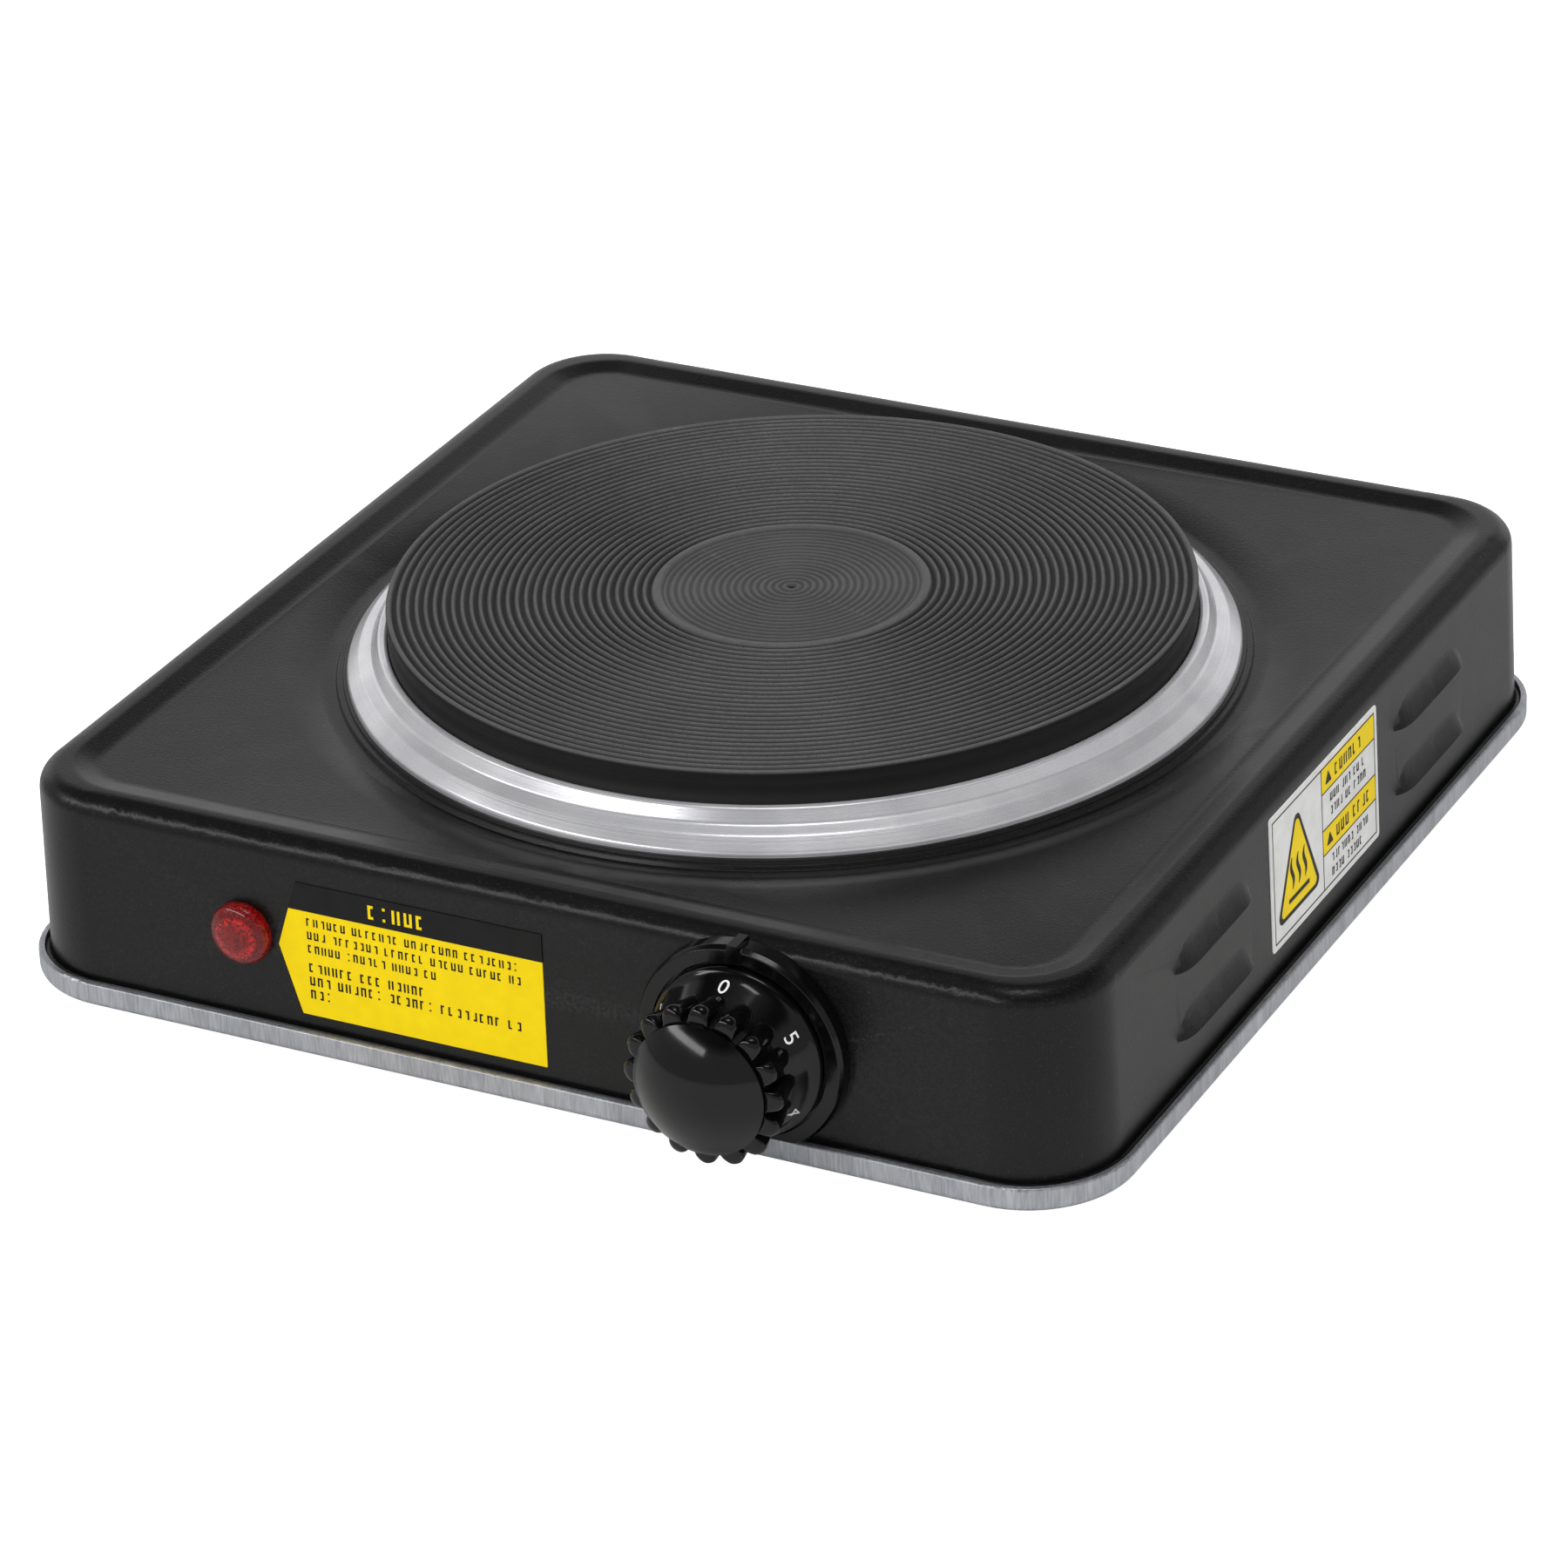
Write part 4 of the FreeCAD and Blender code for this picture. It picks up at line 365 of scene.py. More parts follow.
def cast_iron():
    """Machined casting with a dark matt coating and painted shade in the grooves. Sizes are in millimetres."""
    # depths below the top where the painted groove shade is full and where it ends, and the lift that keeps the
    # sunk middle out of it
    middle_low, middle_high, middle_shade_lift = 24.3, 24.6, 0.38
    groove_shade_full_depth, groove_shade_free_depth = 0.65, 0.1
    material, tree, shader = new_material("cast_iron")
    centre = tuple(plate_centre / MM)
    turning = shared(tree, "turning", Centre=centre, Pitch=0.35, Height=0.012)
    grit = shared(tree, "speckle", Size=0.3, Share=0.4)["Mask"]
    tone = shared(tree, "cloudy", Size=14.0, Low=0.05, High=0.064)["Value"]
    base = even_grey(tree, tone)
    base = blend_colour(tree, maths(tree, "MULTIPLY", turning["Lines"], 0.4), base, grey(0.11))
    base = blend_colour(tree, maths(tree, "MULTIPLY", grit, 0.5), base, grey(0.02))
    wear = shared(tree, "wear", Start=0.51, End=0.58)["Mask"]
    base = blend_colour(tree, maths(tree, "MULTIPLY", wear, 0.5), base, grey(0.13))
    # painted shade: the deeper a point lies below the plate's top, the darker its colour, save in the sunk
    # middle
    radius = distance_in_mm(tree, centre, (1.0, 1.0, 0.0))
    height = add(tree, "ShaderNodeSeparateXYZ", vector=place_in_mm(tree)).outputs["Z"]
    height = maths(tree, "ADD", height, spread(tree, radius, middle_low, middle_high, middle_shade_lift, 0.0))
    top = plate_high.z / MM
    base = blend_colour(tree, spread(tree, height, top - groove_shade_full_depth, top - groove_shade_free_depth), grey(0.006), base)
    link(tree, base, shader.inputs["Base Color"])
    link(tree, spread(tree, turning["Lines"], 0.3, 0.7, 0.5, 0.62), shader.inputs["Roughness"])
    shader.inputs["Specular IOR Level"].default_value = 0.4
    link(tree, turning["Normal"], shader.inputs["Normal"])
    return material


def ring_chrome():
    """Polished steel with faint spinning marks."""
    material, tree, shader = new_material("ring_chrome")
    centre = tuple(plate_centre / MM)
    turning = shared(tree, "turning", Centre=centre, Pitch=0.6, Height=0.0003)
    tone = shared(tree, "cloudy", Size=12.0, Low=0.0, High=1.0)["Value"]
    base = blend_colour(tree, tone, (0.62, 0.62, 0.65, 1), (0.76, 0.76, 0.78, 1))
    link(tree, base, shader.inputs["Base Color"])
    shader.inputs["Metallic"].default_value = 0.6
    link(tree, spread(tree, turning["Lines"], 0.3, 0.7, 0.2, 0.3), shader.inputs["Roughness"])
    link(tree, turning["Normal"], shader.inputs["Normal"])
    return material


def moulded(name, colour, rough, peel, coat):
    """Moulded plastic with a faint flow mottle and peel; coat adds a clear gloss."""
    material, tree, shader = new_material(name)
    tone = shared(tree, "cloudy", Size=6.0, Low=0.0, High=1.0)["Value"]
    darker = tuple(0.75 * c for c in colour[:3]) + (1,)
    link(tree, blend_colour(tree, tone, darker, colour), shader.inputs["Base Color"])
    fine = shared(tree, "cloudy", Size=1.5, Low=rough * 0.85, High=rough * 1.15)["Value"]
    link(tree, fine, shader.inputs["Roughness"])
    shader.inputs["Specular IOR Level"].default_value = 0.35
    shader.inputs["Coat Weight"].default_value = coat
    shader.inputs["Coat Roughness"].default_value = 0.05
    link(tree, shared(tree, "ripple", Size=1.2, Height=peel)["Normal"], shader.inputs["Normal"])
    return material


def plated(name, dark, light, rough, stretch=(1.0, 0.2, 1.0)):
    """Sheet or wire metal with drawing marks, blotches and rubbed edges."""
    material, tree, shader = new_material(name)
    lines = shared(tree, "streaks", Stretch=stretch, Size=0.5, Height=0.008)
    blotch = shared(tree, "cloudy", Size=5.0, Low=0.0, High=1.0)["Value"]
    tone = maths(tree, "ADD", maths(tree, "MULTIPLY", lines["Lines"], 0.5), maths(tree, "MULTIPLY", blotch, 0.5))
    base = blend_colour(tree, tone, dark, light)
    wear = shared(tree, "wear", Start=0.55, End=0.65)["Mask"]
    bright = tuple(min(1.0, 1.25 * c) for c in light[:3]) + (1,)
    link(tree, blend_colour(tree, wear, base, bright), shader.inputs["Base Color"])
    shader.inputs["Metallic"].default_value = 1.0
    link(tree, spread(tree, tone, 0.2, 0.8, rough * 0.8, rough * 1.25), shader.inputs["Roughness"])
    link(tree, lines["Normal"], shader.inputs["Normal"])
    return material


def fired(name, dark, light, size):
    """Porcelain, cement or bare rubber: matt and grainy, with scattered darker specks."""
    material, tree, shader = new_material(name)
    tone = shared(tree, "cloudy", Size=size, Low=0.0, High=1.0)["Value"]
    base = blend_colour(tree, tone, dark, light)
    # scattered darker specks in the colour
    dark_specks = shared(tree, "speckle", Size=0.4, Share=0.25)["Mask"]
    speck_colour = tuple(0.6 * c for c in dark[:3]) + (1,)
    base = blend_colour(tree, maths(tree, "MULTIPLY", dark_specks, 0.6), base, speck_colour)
    link(tree, base, shader.inputs["Base Color"])
    rough = shared(tree, "cloudy", Size=size / 3, Low=0.6, High=0.8)["Value"]
    link(tree, rough, shader.inputs["Roughness"])
    link(tree, shared(tree, "ripple", Size=0.5, Height=0.03)["Normal"], shader.inputs["Normal"])
    return material


def red_lens():
    """Clear red moulding: smooth outside, small facets inside. The light the facets catch is painted as a ring
    of brighter and darker random facets, and light passing through as a painted glow.
    """
    material, tree, shader = new_material("red_lens")
    place = place_in_mm(tree)
    cells = add(tree, "ShaderNodeTexVoronoi", {"feature": "F1"}, vector=place, scale=2.6)
    random_part = add(tree, "ShaderNodeSeparateColor", color=cells.outputs["Color"]).outputs[0]
    # painted glints: each facet gets a random brightness, strongest in a ring round the middle and dark towards
    # the edge
    painted_facet_glint = spread(tree, random_part, 0.1, 1.0)
    radius = distance_in_mm(tree, tuple(lens_axis / MM), (1.0, 0.0, 1.0))
    lens_radius = (lens_high.x - lens_low.x) / 2 / MM
    ring = add(tree, "ShaderNodeValToRGB", fac=maths(tree, "DIVIDE", radius, lens_radius))
    stops = ((0.0, 0.25), (0.45, 0.35), (0.62, 0.9), (0.74, 0.1), (1.0, 0.3))
    set_ramp(ring, [(at, grey(value)) for at, value in stops])
    painted_glint_light = maths(tree, "MULTIPLY", painted_facet_glint, ring.outputs["Color"])
    colour = blend_colour(tree, painted_glint_light, (0.09, 0.001, 0.001, 1), (0.60, 0.012, 0.010, 1))
    link(tree, colour, shader.inputs["Base Color"])
    # painted glow standing in for light that passes through the clear lens
    painted_glow = blend_colour(tree, painted_glint_light, grey(0.0), (0.5, 0.01, 0.01, 1))
    link(tree, painted_glow, shader.inputs["Emission Color"])
    shader.inputs["Emission Strength"].default_value = 0.3
    shader.inputs["Specular IOR Level"].default_value = 0.2
    shader.inputs["Roughness"].default_value = 0.22
    shader.inputs["Coat Weight"].default_value = 0.6
    shader.inputs["Coat Roughness"].default_value = 0.02
    facets = add(tree, "ShaderNodeBump", None, height=cells.outputs["Distance"], distance=0.1 * MM)
    link(tree, facets.outputs["Normal"], shader.inputs["Normal"])
    return material


def bulb_glass():
    """Thin clear glass, faintly uneven."""
    material, tree, shader = new_material("bulb_glass")
    tone = shared(tree, "cloudy", Size=3.0, Low=0.0, High=1.0)["Value"]
    link(tree, blend_colour(tree, tone, grey(0.85), grey(0.95)), shader.inputs["Base Color"])
    shader.inputs["Transmission Weight"].default_value = 1.0
    shader.inputs["Roughness"].default_value = 0.05
    link(tree, shared(tree, "ripple", Size=2.0, Height=0.02)["Normal"], shader.inputs["Normal"])
    return material


def printed(name, dark, light, rough):
    """Printed foil or ink: even colour with a faint screen mottle."""
    material, tree, shader = new_material(name)
    tone = shared(tree, "cloudy", Size=4.0, Low=0.0, High=1.0)["Value"]
    fine = shared(tree, "speckle", Size=0.25, Share=0.3)["Mask"]
    base = blend_colour(tree, tone, dark, light)
    base = blend_colour(tree, maths(tree, "MULTIPLY", fine, 0.4), base, dark)
    link(tree, base, shader.inputs["Base Color"])
    shader.inputs["Specular IOR Level"].default_value = 0.2
    uneven = shared(tree, "cloudy", Size=2.0, Low=rough * 0.9, High=rough * 1.1)["Value"]
    link(tree, uneven, shader.inputs["Roughness"])
    link(tree, shared(tree, "ripple", Size=3.0, Height=0.01)["Normal"], shader.inputs["Normal"])
    return material


def two_tone_wire():
    """Green insulation with a lengthwise yellow stripe."""
    material, tree, shader = new_material("green_yellow_wire")
    noise = shared(tree, "streaks", Stretch=(0.4, 0.05, 0.5), Size=0.8, Height=0.01)
    stripe = spread(tree, noise["Lines"], 0.47, 0.53)
    base = blend_colour(tree, stripe, (0.02, 0.20, 0.03, 1), (0.72, 0.60, 0.02, 1))
    link(tree, base, shader.inputs["Base Color"])
    link(tree, shared(tree, "cloudy", Size=2.0, Low=0.4, High=0.5)["Value"], shader.inputs["Roughness"])
    link(tree, noise["Normal"], shader.inputs["Normal"])
    return material


def make_materials():
    """One material for each slot of the record, and the inks."""
    for make in (make_cloudy, make_speckle, make_ripple, make_turning, make_streaks, make_wear):
        make()
    return {
        "black_enamel": black_enamel(),
        "bright_steel": bright_steel(),
        "cast_iron": cast_iron(),
        "ring_chrome": ring_chrome(),
        "knob_plastic": moulded("knob_plastic", grey(0.002), 0.14, 0.004, 0.15),
        "black_plastic": moulded("black_plastic", grey(0.002), 0.18, 0.006, 0.1),
        "black_rubber": fired("black_rubber", grey(0.012), grey(0.022), 5.0),
        "zinc_steel": plated("zinc_steel", (0.38, 0.39, 0.41, 1), (0.62, 0.63, 0.65, 1), 0.32),
        "element_steel": plated("element_steel", (0.20, 0.17, 0.14, 1), (0.34, 0.32, 0.30, 1), 0.4),
        "brass": plated("brass", (0.50, 0.33, 0.10, 1), (0.74, 0.53, 0.20, 1), 0.28),
        "bimetal": plated("bimetal", (0.36, 0.33, 0.27, 1), (0.55, 0.51, 0.43, 1), 0.3),
        "silver_alloy": plated("silver_alloy", (0.66, 0.65, 0.61, 1), (0.86, 0.85, 0.81, 1), 0.2),
        "magnesia": fired("magnesia", (0.62, 0.58, 0.50, 1), (0.80, 0.77, 0.70, 1), 4.0),
        "porcelain": fired("porcelain", (0.70, 0.67, 0.60, 1), (0.84, 0.82, 0.77, 1), 7.0),
        "red_lens": red_lens(),
        "bulb_glass": bulb_glass(),
        "yellow_foil": printed("yellow_foil", (0.94, 0.68, 0.0, 1), (1.0, 0.74, 0.0, 1), 0.5),
        "white_foil": printed("white_foil", (0.74, 0.74, 0.72, 1), (0.84, 0.84, 0.82, 1), 0.4),
        "silver_foil": printed("silver_foil", grey(0.42), grey(0.55), 0.35),
        "brown_wire": moulded("brown_wire", (0.10, 0.035, 0.012, 1), 0.45, 0.01, 0.0),
        "white_wire": fired("white_wire", (0.60, 0.58, 0.54, 1), (0.76, 0.75, 0.71, 1), 1.5),
        "blue_wire": moulded("blue_wire", (0.02, 0.08, 0.30, 1), 0.45, 0.01, 0.0),
        "green_yellow_wire": two_tone_wire(),
        "black_ink": printed("black_ink", grey(0.006), grey(0.010), 0.45),
        "white_ink": printed("white_ink", grey(0.62), grey(0.75), 0.5),
    }


# ---- building meshes ----
def finish_piece(mesh, name, body, material, crease=35.0):
    """Turns a mesh into a piece of the object with its material and smooth shading."""
    mesh.validate()
    mesh.materials.append(material)
    mesh.shade_smooth()
    mesh.set_sharp_from_angle(angle=math.radians(crease))
    piece = bpy.data.objects.new(name, mesh)
    bpy.context.scene.collection.objects.link(piece)
    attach(piece, body)
    return piece


def turned_mesh(name, line, place, segments):
    """Closed mesh turned from a line of points; place(angle, point) gives a vertex.

    A point whose radius is zero becomes a single vertex. The line is closed on itself unless
    it starts and ends on the axis.
    """
    mesh_builder = bmesh.new()
    rows = []
    for point in line:
        if point[0] <= 0:
            rows.append([mesh_builder.verts.new(place(0.0, point))])
        else:
            steps = (2 * math.pi * i / segments for i in range(segments))
            rows.append([mesh_builder.verts.new(place(a, point)) for a in steps])
    pairs = list(zip(rows, rows[1:]))
    if line[0][0] > 0:
        pairs.append((rows[-1], rows[0]))
    for first, second in pairs:
        for i in range(segments):
            j = (i + 1) % segments
            near, far = len(first), len(second)
            corners = [first[i % near], first[j % near], second[j % far], second[i % far]]
            mesh_builder.faces.new(list(dict.fromkeys(corners)))
    bmesh.ops.recalc_face_normals(mesh_builder, faces=mesh_builder.faces)
    mesh = bpy.data.meshes.new(name)
    mesh_builder.to_mesh(mesh)
    mesh_builder.free()
    return mesh


def upright(centre):
    """Placing rule for something turned about an upright axis: points are (radius, height)."""
    def place(angle, point):
        return (centre.x + point[0] * math.cos(angle), centre.y + point[0] * math.sin(angle), point[1])
    return place


def rounded(line, radii, steps=6):
    """The line with each inner corner replaced by an arc of its radius."""
    points = [Vector(p) for p in line]
    out = [points[0]]
    for before, corner, after, r in zip(points, points[1:], points[2:], radii):
        back, on = (before - corner).normalized(), (after - corner).normalized()
        half = back.angle(on) / 2
        if r <= 0:
            out.append(corner)
            continue
        reach = r / math.tan(half)
        centre = corner + (back + on).normalized() * (r / math.sin(half))
        start, end = corner + back * reach - centre, corner + on * reach - centre
        for i in range(steps + 1):
            direction = start.slerp(end, i / steps, start)
            out.append(centre + direction.normalized() * r)
    out.append(points[-1])
    return [(p.x, p.y) for p in out]


# ---- cooking plate ----
def make_cooking_plate(materials):
    """Casting with rounded concentric ridges, a sunk middle with fine rings, and the coil's cavity below."""
    pitch, first, ridges = 1.74 * MM, 26.35 * MM, 30
    depth, sunk, edge_r = 0.75 * MM, 0.5 * MM, 0.5 * MM
    middle_r, fine_pitch, fine_depth = 24.4 * MM, 1.43 * MM, 0.3 * MM
    top, low = plate_high.z, plate_low.z
    dimple = ((0.0, 0.7), (0.35, 0.65), (0.8, 0.15))
    line = [(r * MM, top - sunk - drop * MM) for r, drop in dimple]
    steps = 8
    r = 0.8 * MM
    while r < middle_r - fine_pitch / steps:
        r += fine_pitch / steps
        wave = 0.5 - 0.5 * math.cos(2 * math.pi * r / fine_pitch)
        line.append((r, top - sunk - fine_depth * wave))
    line.append((middle_r + 0.1 * MM, top - sunk))
    line.append((middle_r + 0.75 * MM, top - 0.1 * MM))
    line.append((middle_r + 1.05 * MM, top))
    for ridge in range(ridges):
        for i in range(steps):
            share = i / steps
            radius = first + (ridge + share) * pitch
            if radius > plate_radius - edge_r * 1.2:
                break
            wave = (0.5 - 0.5 * math.cos(2 * math.pi * share)) ** 0.8
            line.append((radius, top - depth * wave))
    for i in range(7):
        a = math.pi / 2 * i / 6
        line.append((plate_radius - edge_r + edge_r * math.sin(a), top - edge_r + edge_r * math.cos(a)))
    waist = plate_radius - 0.35 * MM
    line += [(plate_radius, top - 2.0 * MM), (waist, top - 2.35 * MM), (waist, top - 5.6 * MM)]
    line += [(plate_radius, top - 6.0 * MM), (plate_radius, low + 0.7 * MM), (plate_radius - 0.7 * MM, low)]
    cavity_r, boss_r, cavity_z = plate_radius - 11.5 * MM, 15.0 * MM, top - 7.0 * MM
    line += [(cavity_r, low), (cavity_r, cavity_z), (boss_r, cavity_z), (boss_r, low), (3.0 * MM, low)]
    line += [(3.0 * MM, low + 7.0 * MM), (0.0, low + 7.0 * MM)]
    mesh = turned_mesh("cooking_plate", line, upright(plate_centre), 360)
    piece = finish_piece(mesh, "cooking_plate", "chassis", materials["cast_iron"], crease=50)
    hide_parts("hotplate")


# ---- spill ring ----
def make_drip_ring(materials):
    """Spun bright ring: clamped under the casting, up its side, over a bead and down to its seat."""
    sheet = 0.6 * MM
    leg = plate_radius + 0.12 * MM
    outer = ring_high.x - plate_centre.x
    top, seat, base = ring_high.z, plate_low.z, ring_low.z
    line = [
        (plate_radius - 4.6 * MM, seat), (leg, seat), (leg, top), (leg + 1.7 * MM, top),
        (leg + 3.3 * MM, top - 2.7 * MM), (leg + 5.6 * MM, top - 3.6 * MM),
        (outer - 0.1 * MM, base + 2.2 * MM), (outer, base + 0.8 * MM),
    ]
    bends = [0.3 * MM, 0.75 * MM, 0.75 * MM, 1.6 * MM, 2.0 * MM, 1.3 * MM]
    shown = rounded(line, bends, 10)
    under = []
    for i, (r, z) in enumerate(shown):
        before, after = shown[max(i - 1, 0)], shown[min(i + 1, len(shown) - 1)]
        along = Vector((after[0] - before[0], after[1] - before[1])).normalized()
        under.append((r + along.y * sheet, z - along.x * sheet))
    mesh = turned_mesh("drip_ring", shown + under[::-1], upright(plate_centre), 512)
    piece = finish_piece(mesh, "drip_ring", "chassis", materials["ring_chrome"], crease=50)
    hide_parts("spill_ring")


# ---- control knob ----
def facing_front(axis):
    """Placing rule for something turned about a front-to-back axis: points are (radius, y)."""
    def place(angle, point):
        return (axis.x + point[0] * math.sin(angle), point[1], axis.z + point[0] * math.cos(angle))
    return place


def rib_reach(angle, count, rib_r, outermost):
    """Distance from the axis to the surface of round ribs spaced round it, 0 between them."""
    step = 2 * math.pi / count
    off = (angle + step / 2) % step - step / 2
    centre = outermost - rib_r
    under = rib_r ** 2 - (centre * math.sin(off)) ** 2
    return centre * math.cos(off) + math.sqrt(under) if under > 0 else 0.0


def between(table, value):
    """Second column of a table at a value of the first, in straight lines."""
    for (x0, y0), (x1, y1) in zip(table, table[1:]):
        if x0 <= value <= x1:
            return y0 + (y1 - y0) * (value - x0) / (x1 - x0)
    return 0.0


def make_control_knob(materials):
    """Glossy knob: skirt, cone for the numbers, ribbed grip and domed cap.

    Depths are in millimetres in front of the housing's face.
    """
    back, tip = knob_high.y, knob_low.y
    behind = 2.1
    lobes, rib_r, cap_r, dome = 16, 2.0, 12.9, 5.4
    body = [
        (0.0, 2.1), (16.5, 2.1), (16.9, 2.5), (16.9, 4.3), (16.75, 4.8), (16.4, 5.15), (15.95, 5.45),
        (15.3, 6.8), (14.6, 8.3), (13.85, 9.9), (13.3, 11.2), (13.0, 12.6), (12.9, 14.0), (12.9, 18.2),
    ]
    ribs = [
        (8.9, 13.7), (9.2, 13.95), (16.2, 15.8), (16.9, 15.85),
        (17.5, 15.6), (17.9, 15.1), (18.15, 14.3), (18.25, 12.8),
    ]
    depths = sorted({d for r, d in body[7:]} | {d for d, r in ribs} | {9.0 + 0.5 * i for i in range(17)})
    line = [(r, d) for r, d in body[:7]]
    line += [(between([(d, r) for r, d in body[6:]], depth), depth) for depth in depths]
    line += [(cap_r - 0.15, 18.45), (cap_r - 0.15, 18.8), (cap_r, 19.0)]
    ball = (cap_r ** 2 + dome ** 2) / (2 * dome)
    widest = math.asin(cap_r / ball)
    end = (back - tip) / MM + behind
    for i in range(1, 21):
        a = widest * (1 - i / 20)
        line.append((ball * math.sin(a) if i < 20 else 0.0, end - ball * (1 - math.cos(a))))
    place = facing_front(knob_axis)

    def ribbed(angle, point):
        radius, depth = point
        outermost = between(ribs, depth)
        if outermost > 0:
            radius = max(radius, rib_reach(angle, lobes, rib_r, outermost))
        return place(angle, (radius * MM, back - (depth - behind) * MM))

    mesh = turned_mesh("control_knob", line, ribbed, lobes * 28)
    piece = finish_piece(mesh, "control_knob", "control", materials["knob_plastic"], crease=50)
    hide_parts("knob", "knob_clip")


def make_dial_numbers(materials):
    """Raised white figures round the knob's cone."""
    size, thick = 4.2 * MM, 0.02 * MM
    outer_r, inner_r, bulge, clear = 15.95 * MM, 13.85 * MM, 0.05 * MM, 0.07 * MM
    outer_y, inner_y = knob_high.y - 3.35 * MM, knob_high.y - 7.8 * MM
    slope = Vector((outer_r - inner_r, outer_y - inner_y)).normalized()
    off = Vector((slope.y, -slope.x))
    middle = Vector(((outer_r + inner_r) / 2, (outer_y + inner_y) / 2))
    place = facing_front(knob_axis)
    builder = bmesh.new()
    for step, figure in enumerate("054321"):
        data = bpy.data.curves.new("figure", "FONT")
        data.body, data.size, data.align_x, data.extrude = figure, size, "CENTER", thick
        data.resolution_u = 8
        text = bpy.data.objects.new("figure", data)
        bpy.context.scene.collection.objects.link(text)
        bpy.context.view_layer.update()
        graph = bpy.context.evaluated_depsgraph_get()
        mesh = bpy.data.meshes.new_from_object(text.evaluated_get(graph))
        tall = max(v.co.y for v in mesh.vertices)
        for vertex in mesh.vertices:
            u, v, w = vertex.co
            spot = middle + slope * (v - tall / 2) + off * (w + bulge + clear)
            angle = math.radians(60 * step) + u / middle.x
            vertex.co = place(angle, spot)
        builder.from_mesh(mesh)
        bpy.data.objects.remove(text)
        bpy.data.meshes.remove(mesh)
    bmesh.ops.remove_doubles(builder, verts=builder.verts, dist=1e-7)
    mesh = bpy.data.meshes.new("dial_numbers")
    builder.to_mesh(mesh)
    builder.free()
    finish_piece(mesh, "dial_numbers", "control", materials["white_ink"])


# ---- pilot lamp ----
def make_pilot_lens(materials):
    """Domed lens with a rolled edge, and its barrel through the wall."""
    r = (lens_high.x - lens_low.x) / 2
    front, back = lens_low.y, lens_high.y
    wall = front + 3.8 * MM
    rise = 2.6 * MM
    line = [(0.0, front)]
    for i in range(1, 13):
        a = math.pi / 2 * i / 12
        line.append((r * math.sin(a) ** 0.92, front + rise * (1 - math.cos(a) ** 0.8)))
    outer, bore, bevel = 4.0 * MM, 3.2 * MM, 0.15 * MM
    line += [(r, wall - bevel), (r - bevel, wall), (outer, wall), (outer, back), (bore, back)]
    line += [(bore, wall), (2.6 * MM, front + 1.6 * MM), (0.0, front + 1.2 * MM)]
    mesh = turned_mesh("pilot_lens", line, facing_front(lens_axis), 96)
    piece = finish_piece(mesh, "pilot_lens", "chassis", materials["red_lens"], crease=45)
    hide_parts("lamp_lens")


# ---- printing on the labels ----
def slab(builder, outline, place, lift, thick):
    """Thin closed slab with a flat outline, laid on a label."""
    low = [builder.verts.new(place(u, v, lift)) for u, v in outline]
    high = [builder.verts.new(place(u, v, lift + thick)) for u, v in outline]
    builder.faces.new(low[::-1])
    builder.faces.new(high)
    count = len(outline)
    for i in range(count):
        j = (i + 1) % count
        builder.faces.new([low[i], low[j], high[j], high[i]])


def bar(u0, u1, v0, v1):
    return [(u0, v0), (u1, v0), (u1, v1), (u0, v1)]


def print_piece(name, outlines, place, material, lift=0.0, thick=0.02):
    builder = bmesh.new()
    for outline in outlines:
        slab(builder, [(u * MM, v * MM) for u, v in outline], place, lift * MM, thick * MM)
    bmesh.ops.recalc_face_normals(builder, faces=builder.faces)
    mesh = bpy.data.meshes.new(name)
    builder.to_mesh(mesh)
    builder.free()
    finish_piece(mesh, name, "chassis", material)


def filler_line(chance, start, end, v0, v1):
    """A line of unreadable marks grouped like words: each mark is two or three strokes of a box."""
    bars = []
    tall = v1 - v0
    wide, pen = tall * 0.6, tall * 0.2
    u = start
    while u < end - 2 * wide:
        for _ in range(chance.randint(2, 8)):
            if u > end - wide:
                break
            strokes = [
                bar(u, u + pen, v0, v1), bar(u + wide - pen, u + wide, v0, v1),
                bar(u + pen, u + wide - pen, v0, v0 + pen), bar(u + pen, u + wide - pen, v1 - pen, v1),
            ]
            bars += chance.sample(strokes, chance.randint(2, 3))
            u += wide + 1.5 * pen
        u += wide
    return bars


def on_front_label(u, v, lift):
    """u to the right from the label's left tip and v up from its lower edge, on the drafted wall."""
    share = v / (front_label_high.z - front_label_low.z)
    skin = front_label_low.y + (front_label_high.y - label_foil - front_label_low.y) * share
    return (front_label_low.x + u, skin - lift, front_label_low.z + v)


def on_side_label(u, v, lift):
    """u to the back from the label's front edge and v up from its lower edge."""
    share = v / (side_label_high.z - side_label_low.z)
    skin = side_label_high.x + (side_label_low.x + label_foil - side_label_high.x) * share
    return (skin + lift, side_label_low.y + u, side_label_low.z + v)


def make_front_print(materials):
    width = (front_label_high.x - front_label_low.x) / MM
    height = (front_label_high.z - front_label_low.z) / MM
    point, band = 4.3, 5.6
    lean = point * (height - band - height / 2) / (height / 2)
    header = [(lean, height - band), (width, height - band), (width, height), (point, height)]
    over = 0.03
    middle, rim = width / 2, height - 1
    header = [(u + (over if u > middle else -over), v + (over if v > rim else 0)) for u, v in header]
    print_piece("front_label_header", [header], on_front_label, materials["black_ink"], -0.19, 0.21)
    chance = random.Random(11)
    title = filler_line(chance, 19.5, 32.0, height - 4.3, height - 1.5)
    print_piece("front_label_title", title, on_front_label, materials["yellow_foil"], 0.04)
    lines = []
    for row, end in enumerate((width - 3.0, width - 4.5, 34.0)):
        v = height - band - 2.9 - row * 2.75
        lines += filler_line(chance, 6.2, end, v, v + 1.6)
    for row, end in enumerate((33.5, width - 4.0, 13.0)):
        v = height - band - 12.4 - row * 2.75
        lines += filler_line(chance, 6.2, end, v, v + 1.8)
    print_piece("front_label_text", lines, on_front_label, materials["black_ink"], 0.01)


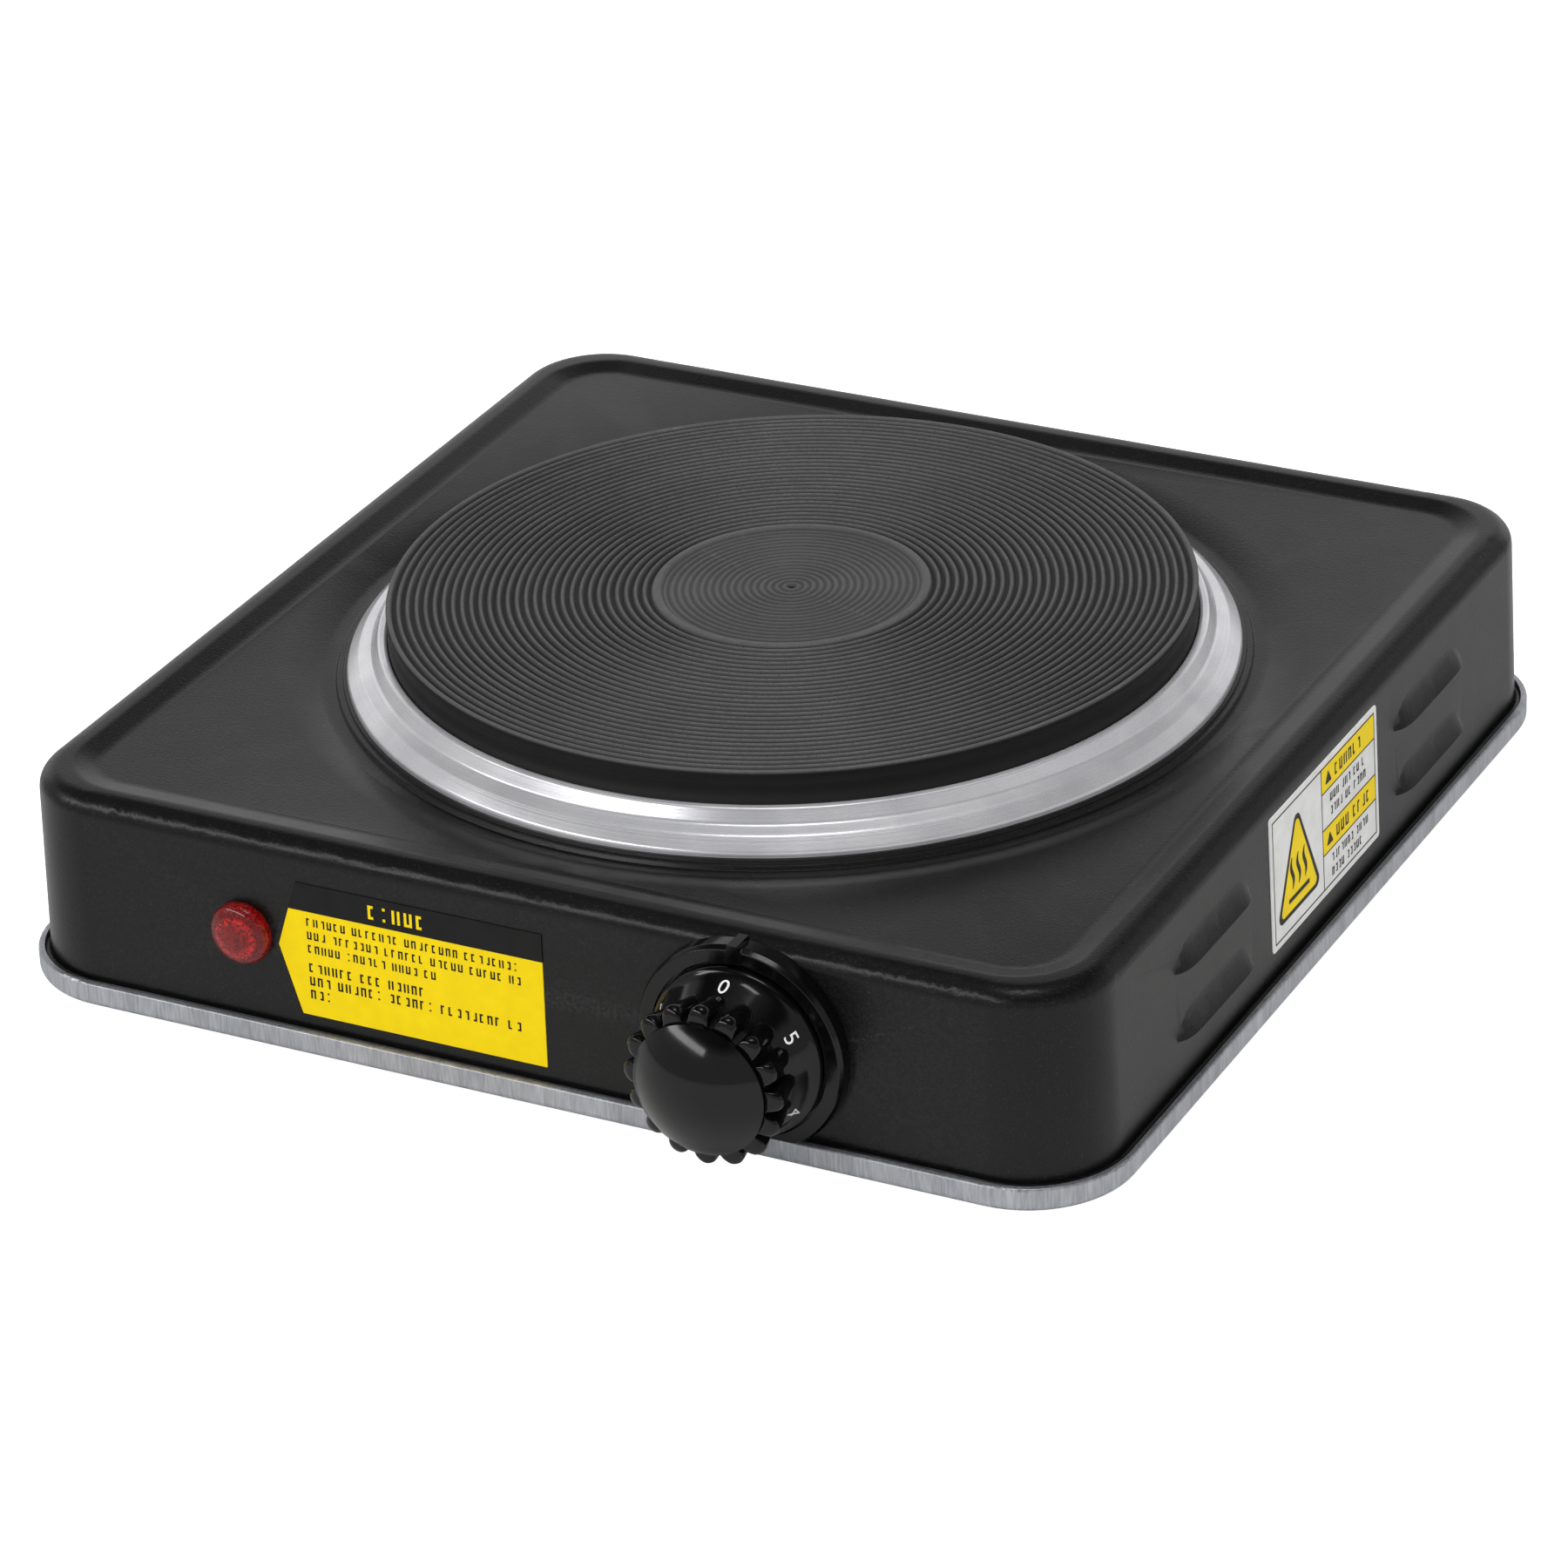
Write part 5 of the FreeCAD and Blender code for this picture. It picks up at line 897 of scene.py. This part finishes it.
def make_side_print(materials):
    width = (side_label_high.y - side_label_low.y) / MM
    height = (side_label_high.z - side_label_low.z) / MM
    edge, split, line = 1.2, 24.0, 0.3
    top, right = height - edge, width - edge
    rules = [
        bar(edge, right, edge, edge + line), bar(edge, right, top - line, top),
        bar(edge, edge + line, edge, top), bar(right - line, right, edge, top),
        bar(split, split + line, edge, top),
    ]
    bands = []
    for v in (top - 5.2, top - 5.2 - 12.8):
        bands.append(bar(split + line, right - line, v, v + 5.2 - line))
        rules.append(bar(split + line, right - line, v - line, v))
        rules.append(bar(split + line, right - line, v + 5.2 - line, v + 5.2))
    print_piece("side_label_rules", rules, on_side_label, materials["black_ink"], 0.01)
    print_piece("side_label_bands", bands, on_side_label, materials["yellow_foil"], 0.01)
    u, low, half, tall = 12.5, 4.0, 10.3, 21.4
    outer = soft_triangle(u, low, half, tall, 1.6)
    print_piece("side_label_triangle", [outer], on_side_label, materials["black_ink"], 0.01)
    inner = soft_triangle(u, low + 0.95, half - 1.6, tall - 2.8, 1.0)
    print_piece("side_label_triangle_fill", [inner], on_side_label, materials["yellow_foil"], 0.04)
    marks = [wave_mark(u + 2.9 * i, low + 5.0, low + 11.5) for i in (-1, 0, 1)]
    marks.append(bar(u - 4.8, u + 4.8, low + 2.7, low + 3.6))
    print_piece("side_label_marks", marks, on_side_label, materials["black_ink"], 0.07)
    chance = random.Random(5)
    words = []
    for v in (top - 5.2, top - 18.0):
        words.append(soft_triangle(split + 3.4, v + 1.2, 1.5, 2.6, 0.2))
        words += filler_line(chance, split + 6.5, right - 2.5, v + 1.2, v + 3.6)
        for row in range(2):
            low_v = v - 3.1 - row * 2.9
            words += filler_line(chance, split + 4.0, right - 4.0, low_v, low_v + 1.7)
    print_piece("side_label_text", words, on_side_label, materials["black_ink"], 0.04)


def wave_mark(u, low, high):
    """Upright wavy stroke, the usual sign for heat."""
    left, right = [], []
    for i in range(13):
        v = low + (high - low) * i / 12
        bend = 0.55 * math.sin(2 * math.pi * i / 12)
        half = 0.55 * math.sin(math.pi * (i + 1) / 14) + 0.05
        left.append((u + bend - half, v))
        right.append((u + bend + half, v))
    return left + right[::-1]


def soft_triangle(u, low, half, tall, r):
    """Upright triangle with rounded corners, as an outline."""
    corners = [Vector((u - half, low)), Vector((u + half, low)), Vector((u, low + tall))]
    outline = []
    for i, corner in enumerate(corners):
        back = (corners[i - 1] - corner).normalized()
        on = (corners[(i + 1) % 3] - corner).normalized()
        opening = back.angle(on) / 2
        centre = corner + (back + on).normalized() * (r / math.sin(opening))
        start = corner + back * (r / math.tan(opening)) - centre
        end = corner + on * (r / math.tan(opening)) - centre
        for step in range(7):
            outline.append(tuple(centre + start.slerp(end, step / 6, start).normalized() * r))
    return outline


# ---- finishing the CAD nodes ----
def soft_shading():
    """Modifier tree that joins a node's facets and shades its gentle edges smooth."""
    tree = bpy.data.node_groups.new("soft_shading", "GeometryNodeTree")
    tree.interface.new_socket("Geometry", in_out="INPUT", socket_type="NodeSocketGeometry")
    tree.interface.new_socket("Geometry", in_out="OUTPUT", socket_type="NodeSocketGeometry")
    start = tree.nodes.new("NodeGroupInput")
    end = tree.nodes.new("NodeGroupOutput")
    join = tree.nodes.new("GeometryNodeMergeByDistance")
    join.inputs["Distance"].default_value = 0.01 * MM
    faces = tree.nodes.new("GeometryNodeSetShadeSmooth")
    faces.domain = "FACE"
    edges = tree.nodes.new("GeometryNodeSetShadeSmooth")
    edges.domain = "EDGE"
    angle = tree.nodes.new("GeometryNodeInputMeshEdgeAngle")
    gentle = tree.nodes.new("FunctionNodeCompare")
    gentle.data_type = "FLOAT"
    gentle.operation = "LESS_THAN"
    gentle.inputs[1].default_value = math.radians(32)
    tree.links.new(start.outputs[0], join.inputs["Geometry"])
    tree.links.new(join.outputs[0], faces.inputs["Geometry"])
    tree.links.new(faces.outputs[0], edges.inputs["Geometry"])
    tree.links.new(angle.outputs["Unsigned Angle"], gentle.inputs[0])
    tree.links.new(gentle.outputs[0], edges.inputs["Shade Smooth"])
    tree.links.new(edges.outputs[0], end.inputs[0])
    return tree


def dress_nodes(materials):
    """Each CAD node gets the material of its slot and soft shading."""
    tree = soft_shading()
    for part in frame["record"]["subparts"]:
        node = frame["nodes"][part["node"]]
        node.data.materials.clear()
        node.data.materials.append(materials[part["material_slot"]])
        modifier = node.modifiers.new("soft_shading", "NODES")
        modifier.node_group = tree
        normals = node.modifiers.new("even_normals", "WEIGHTED_NORMAL")
        normals.mode = "FACE_AREA"
        normals.keep_sharp = True


materials = make_materials()
make_camera()
make_studio()
dress_nodes(materials)
make_cooking_plate(materials)
make_drip_ring(materials)
make_control_knob(materials)
make_dial_numbers(materials)
make_pilot_lens(materials)
make_front_print(materials)
make_side_print(materials)
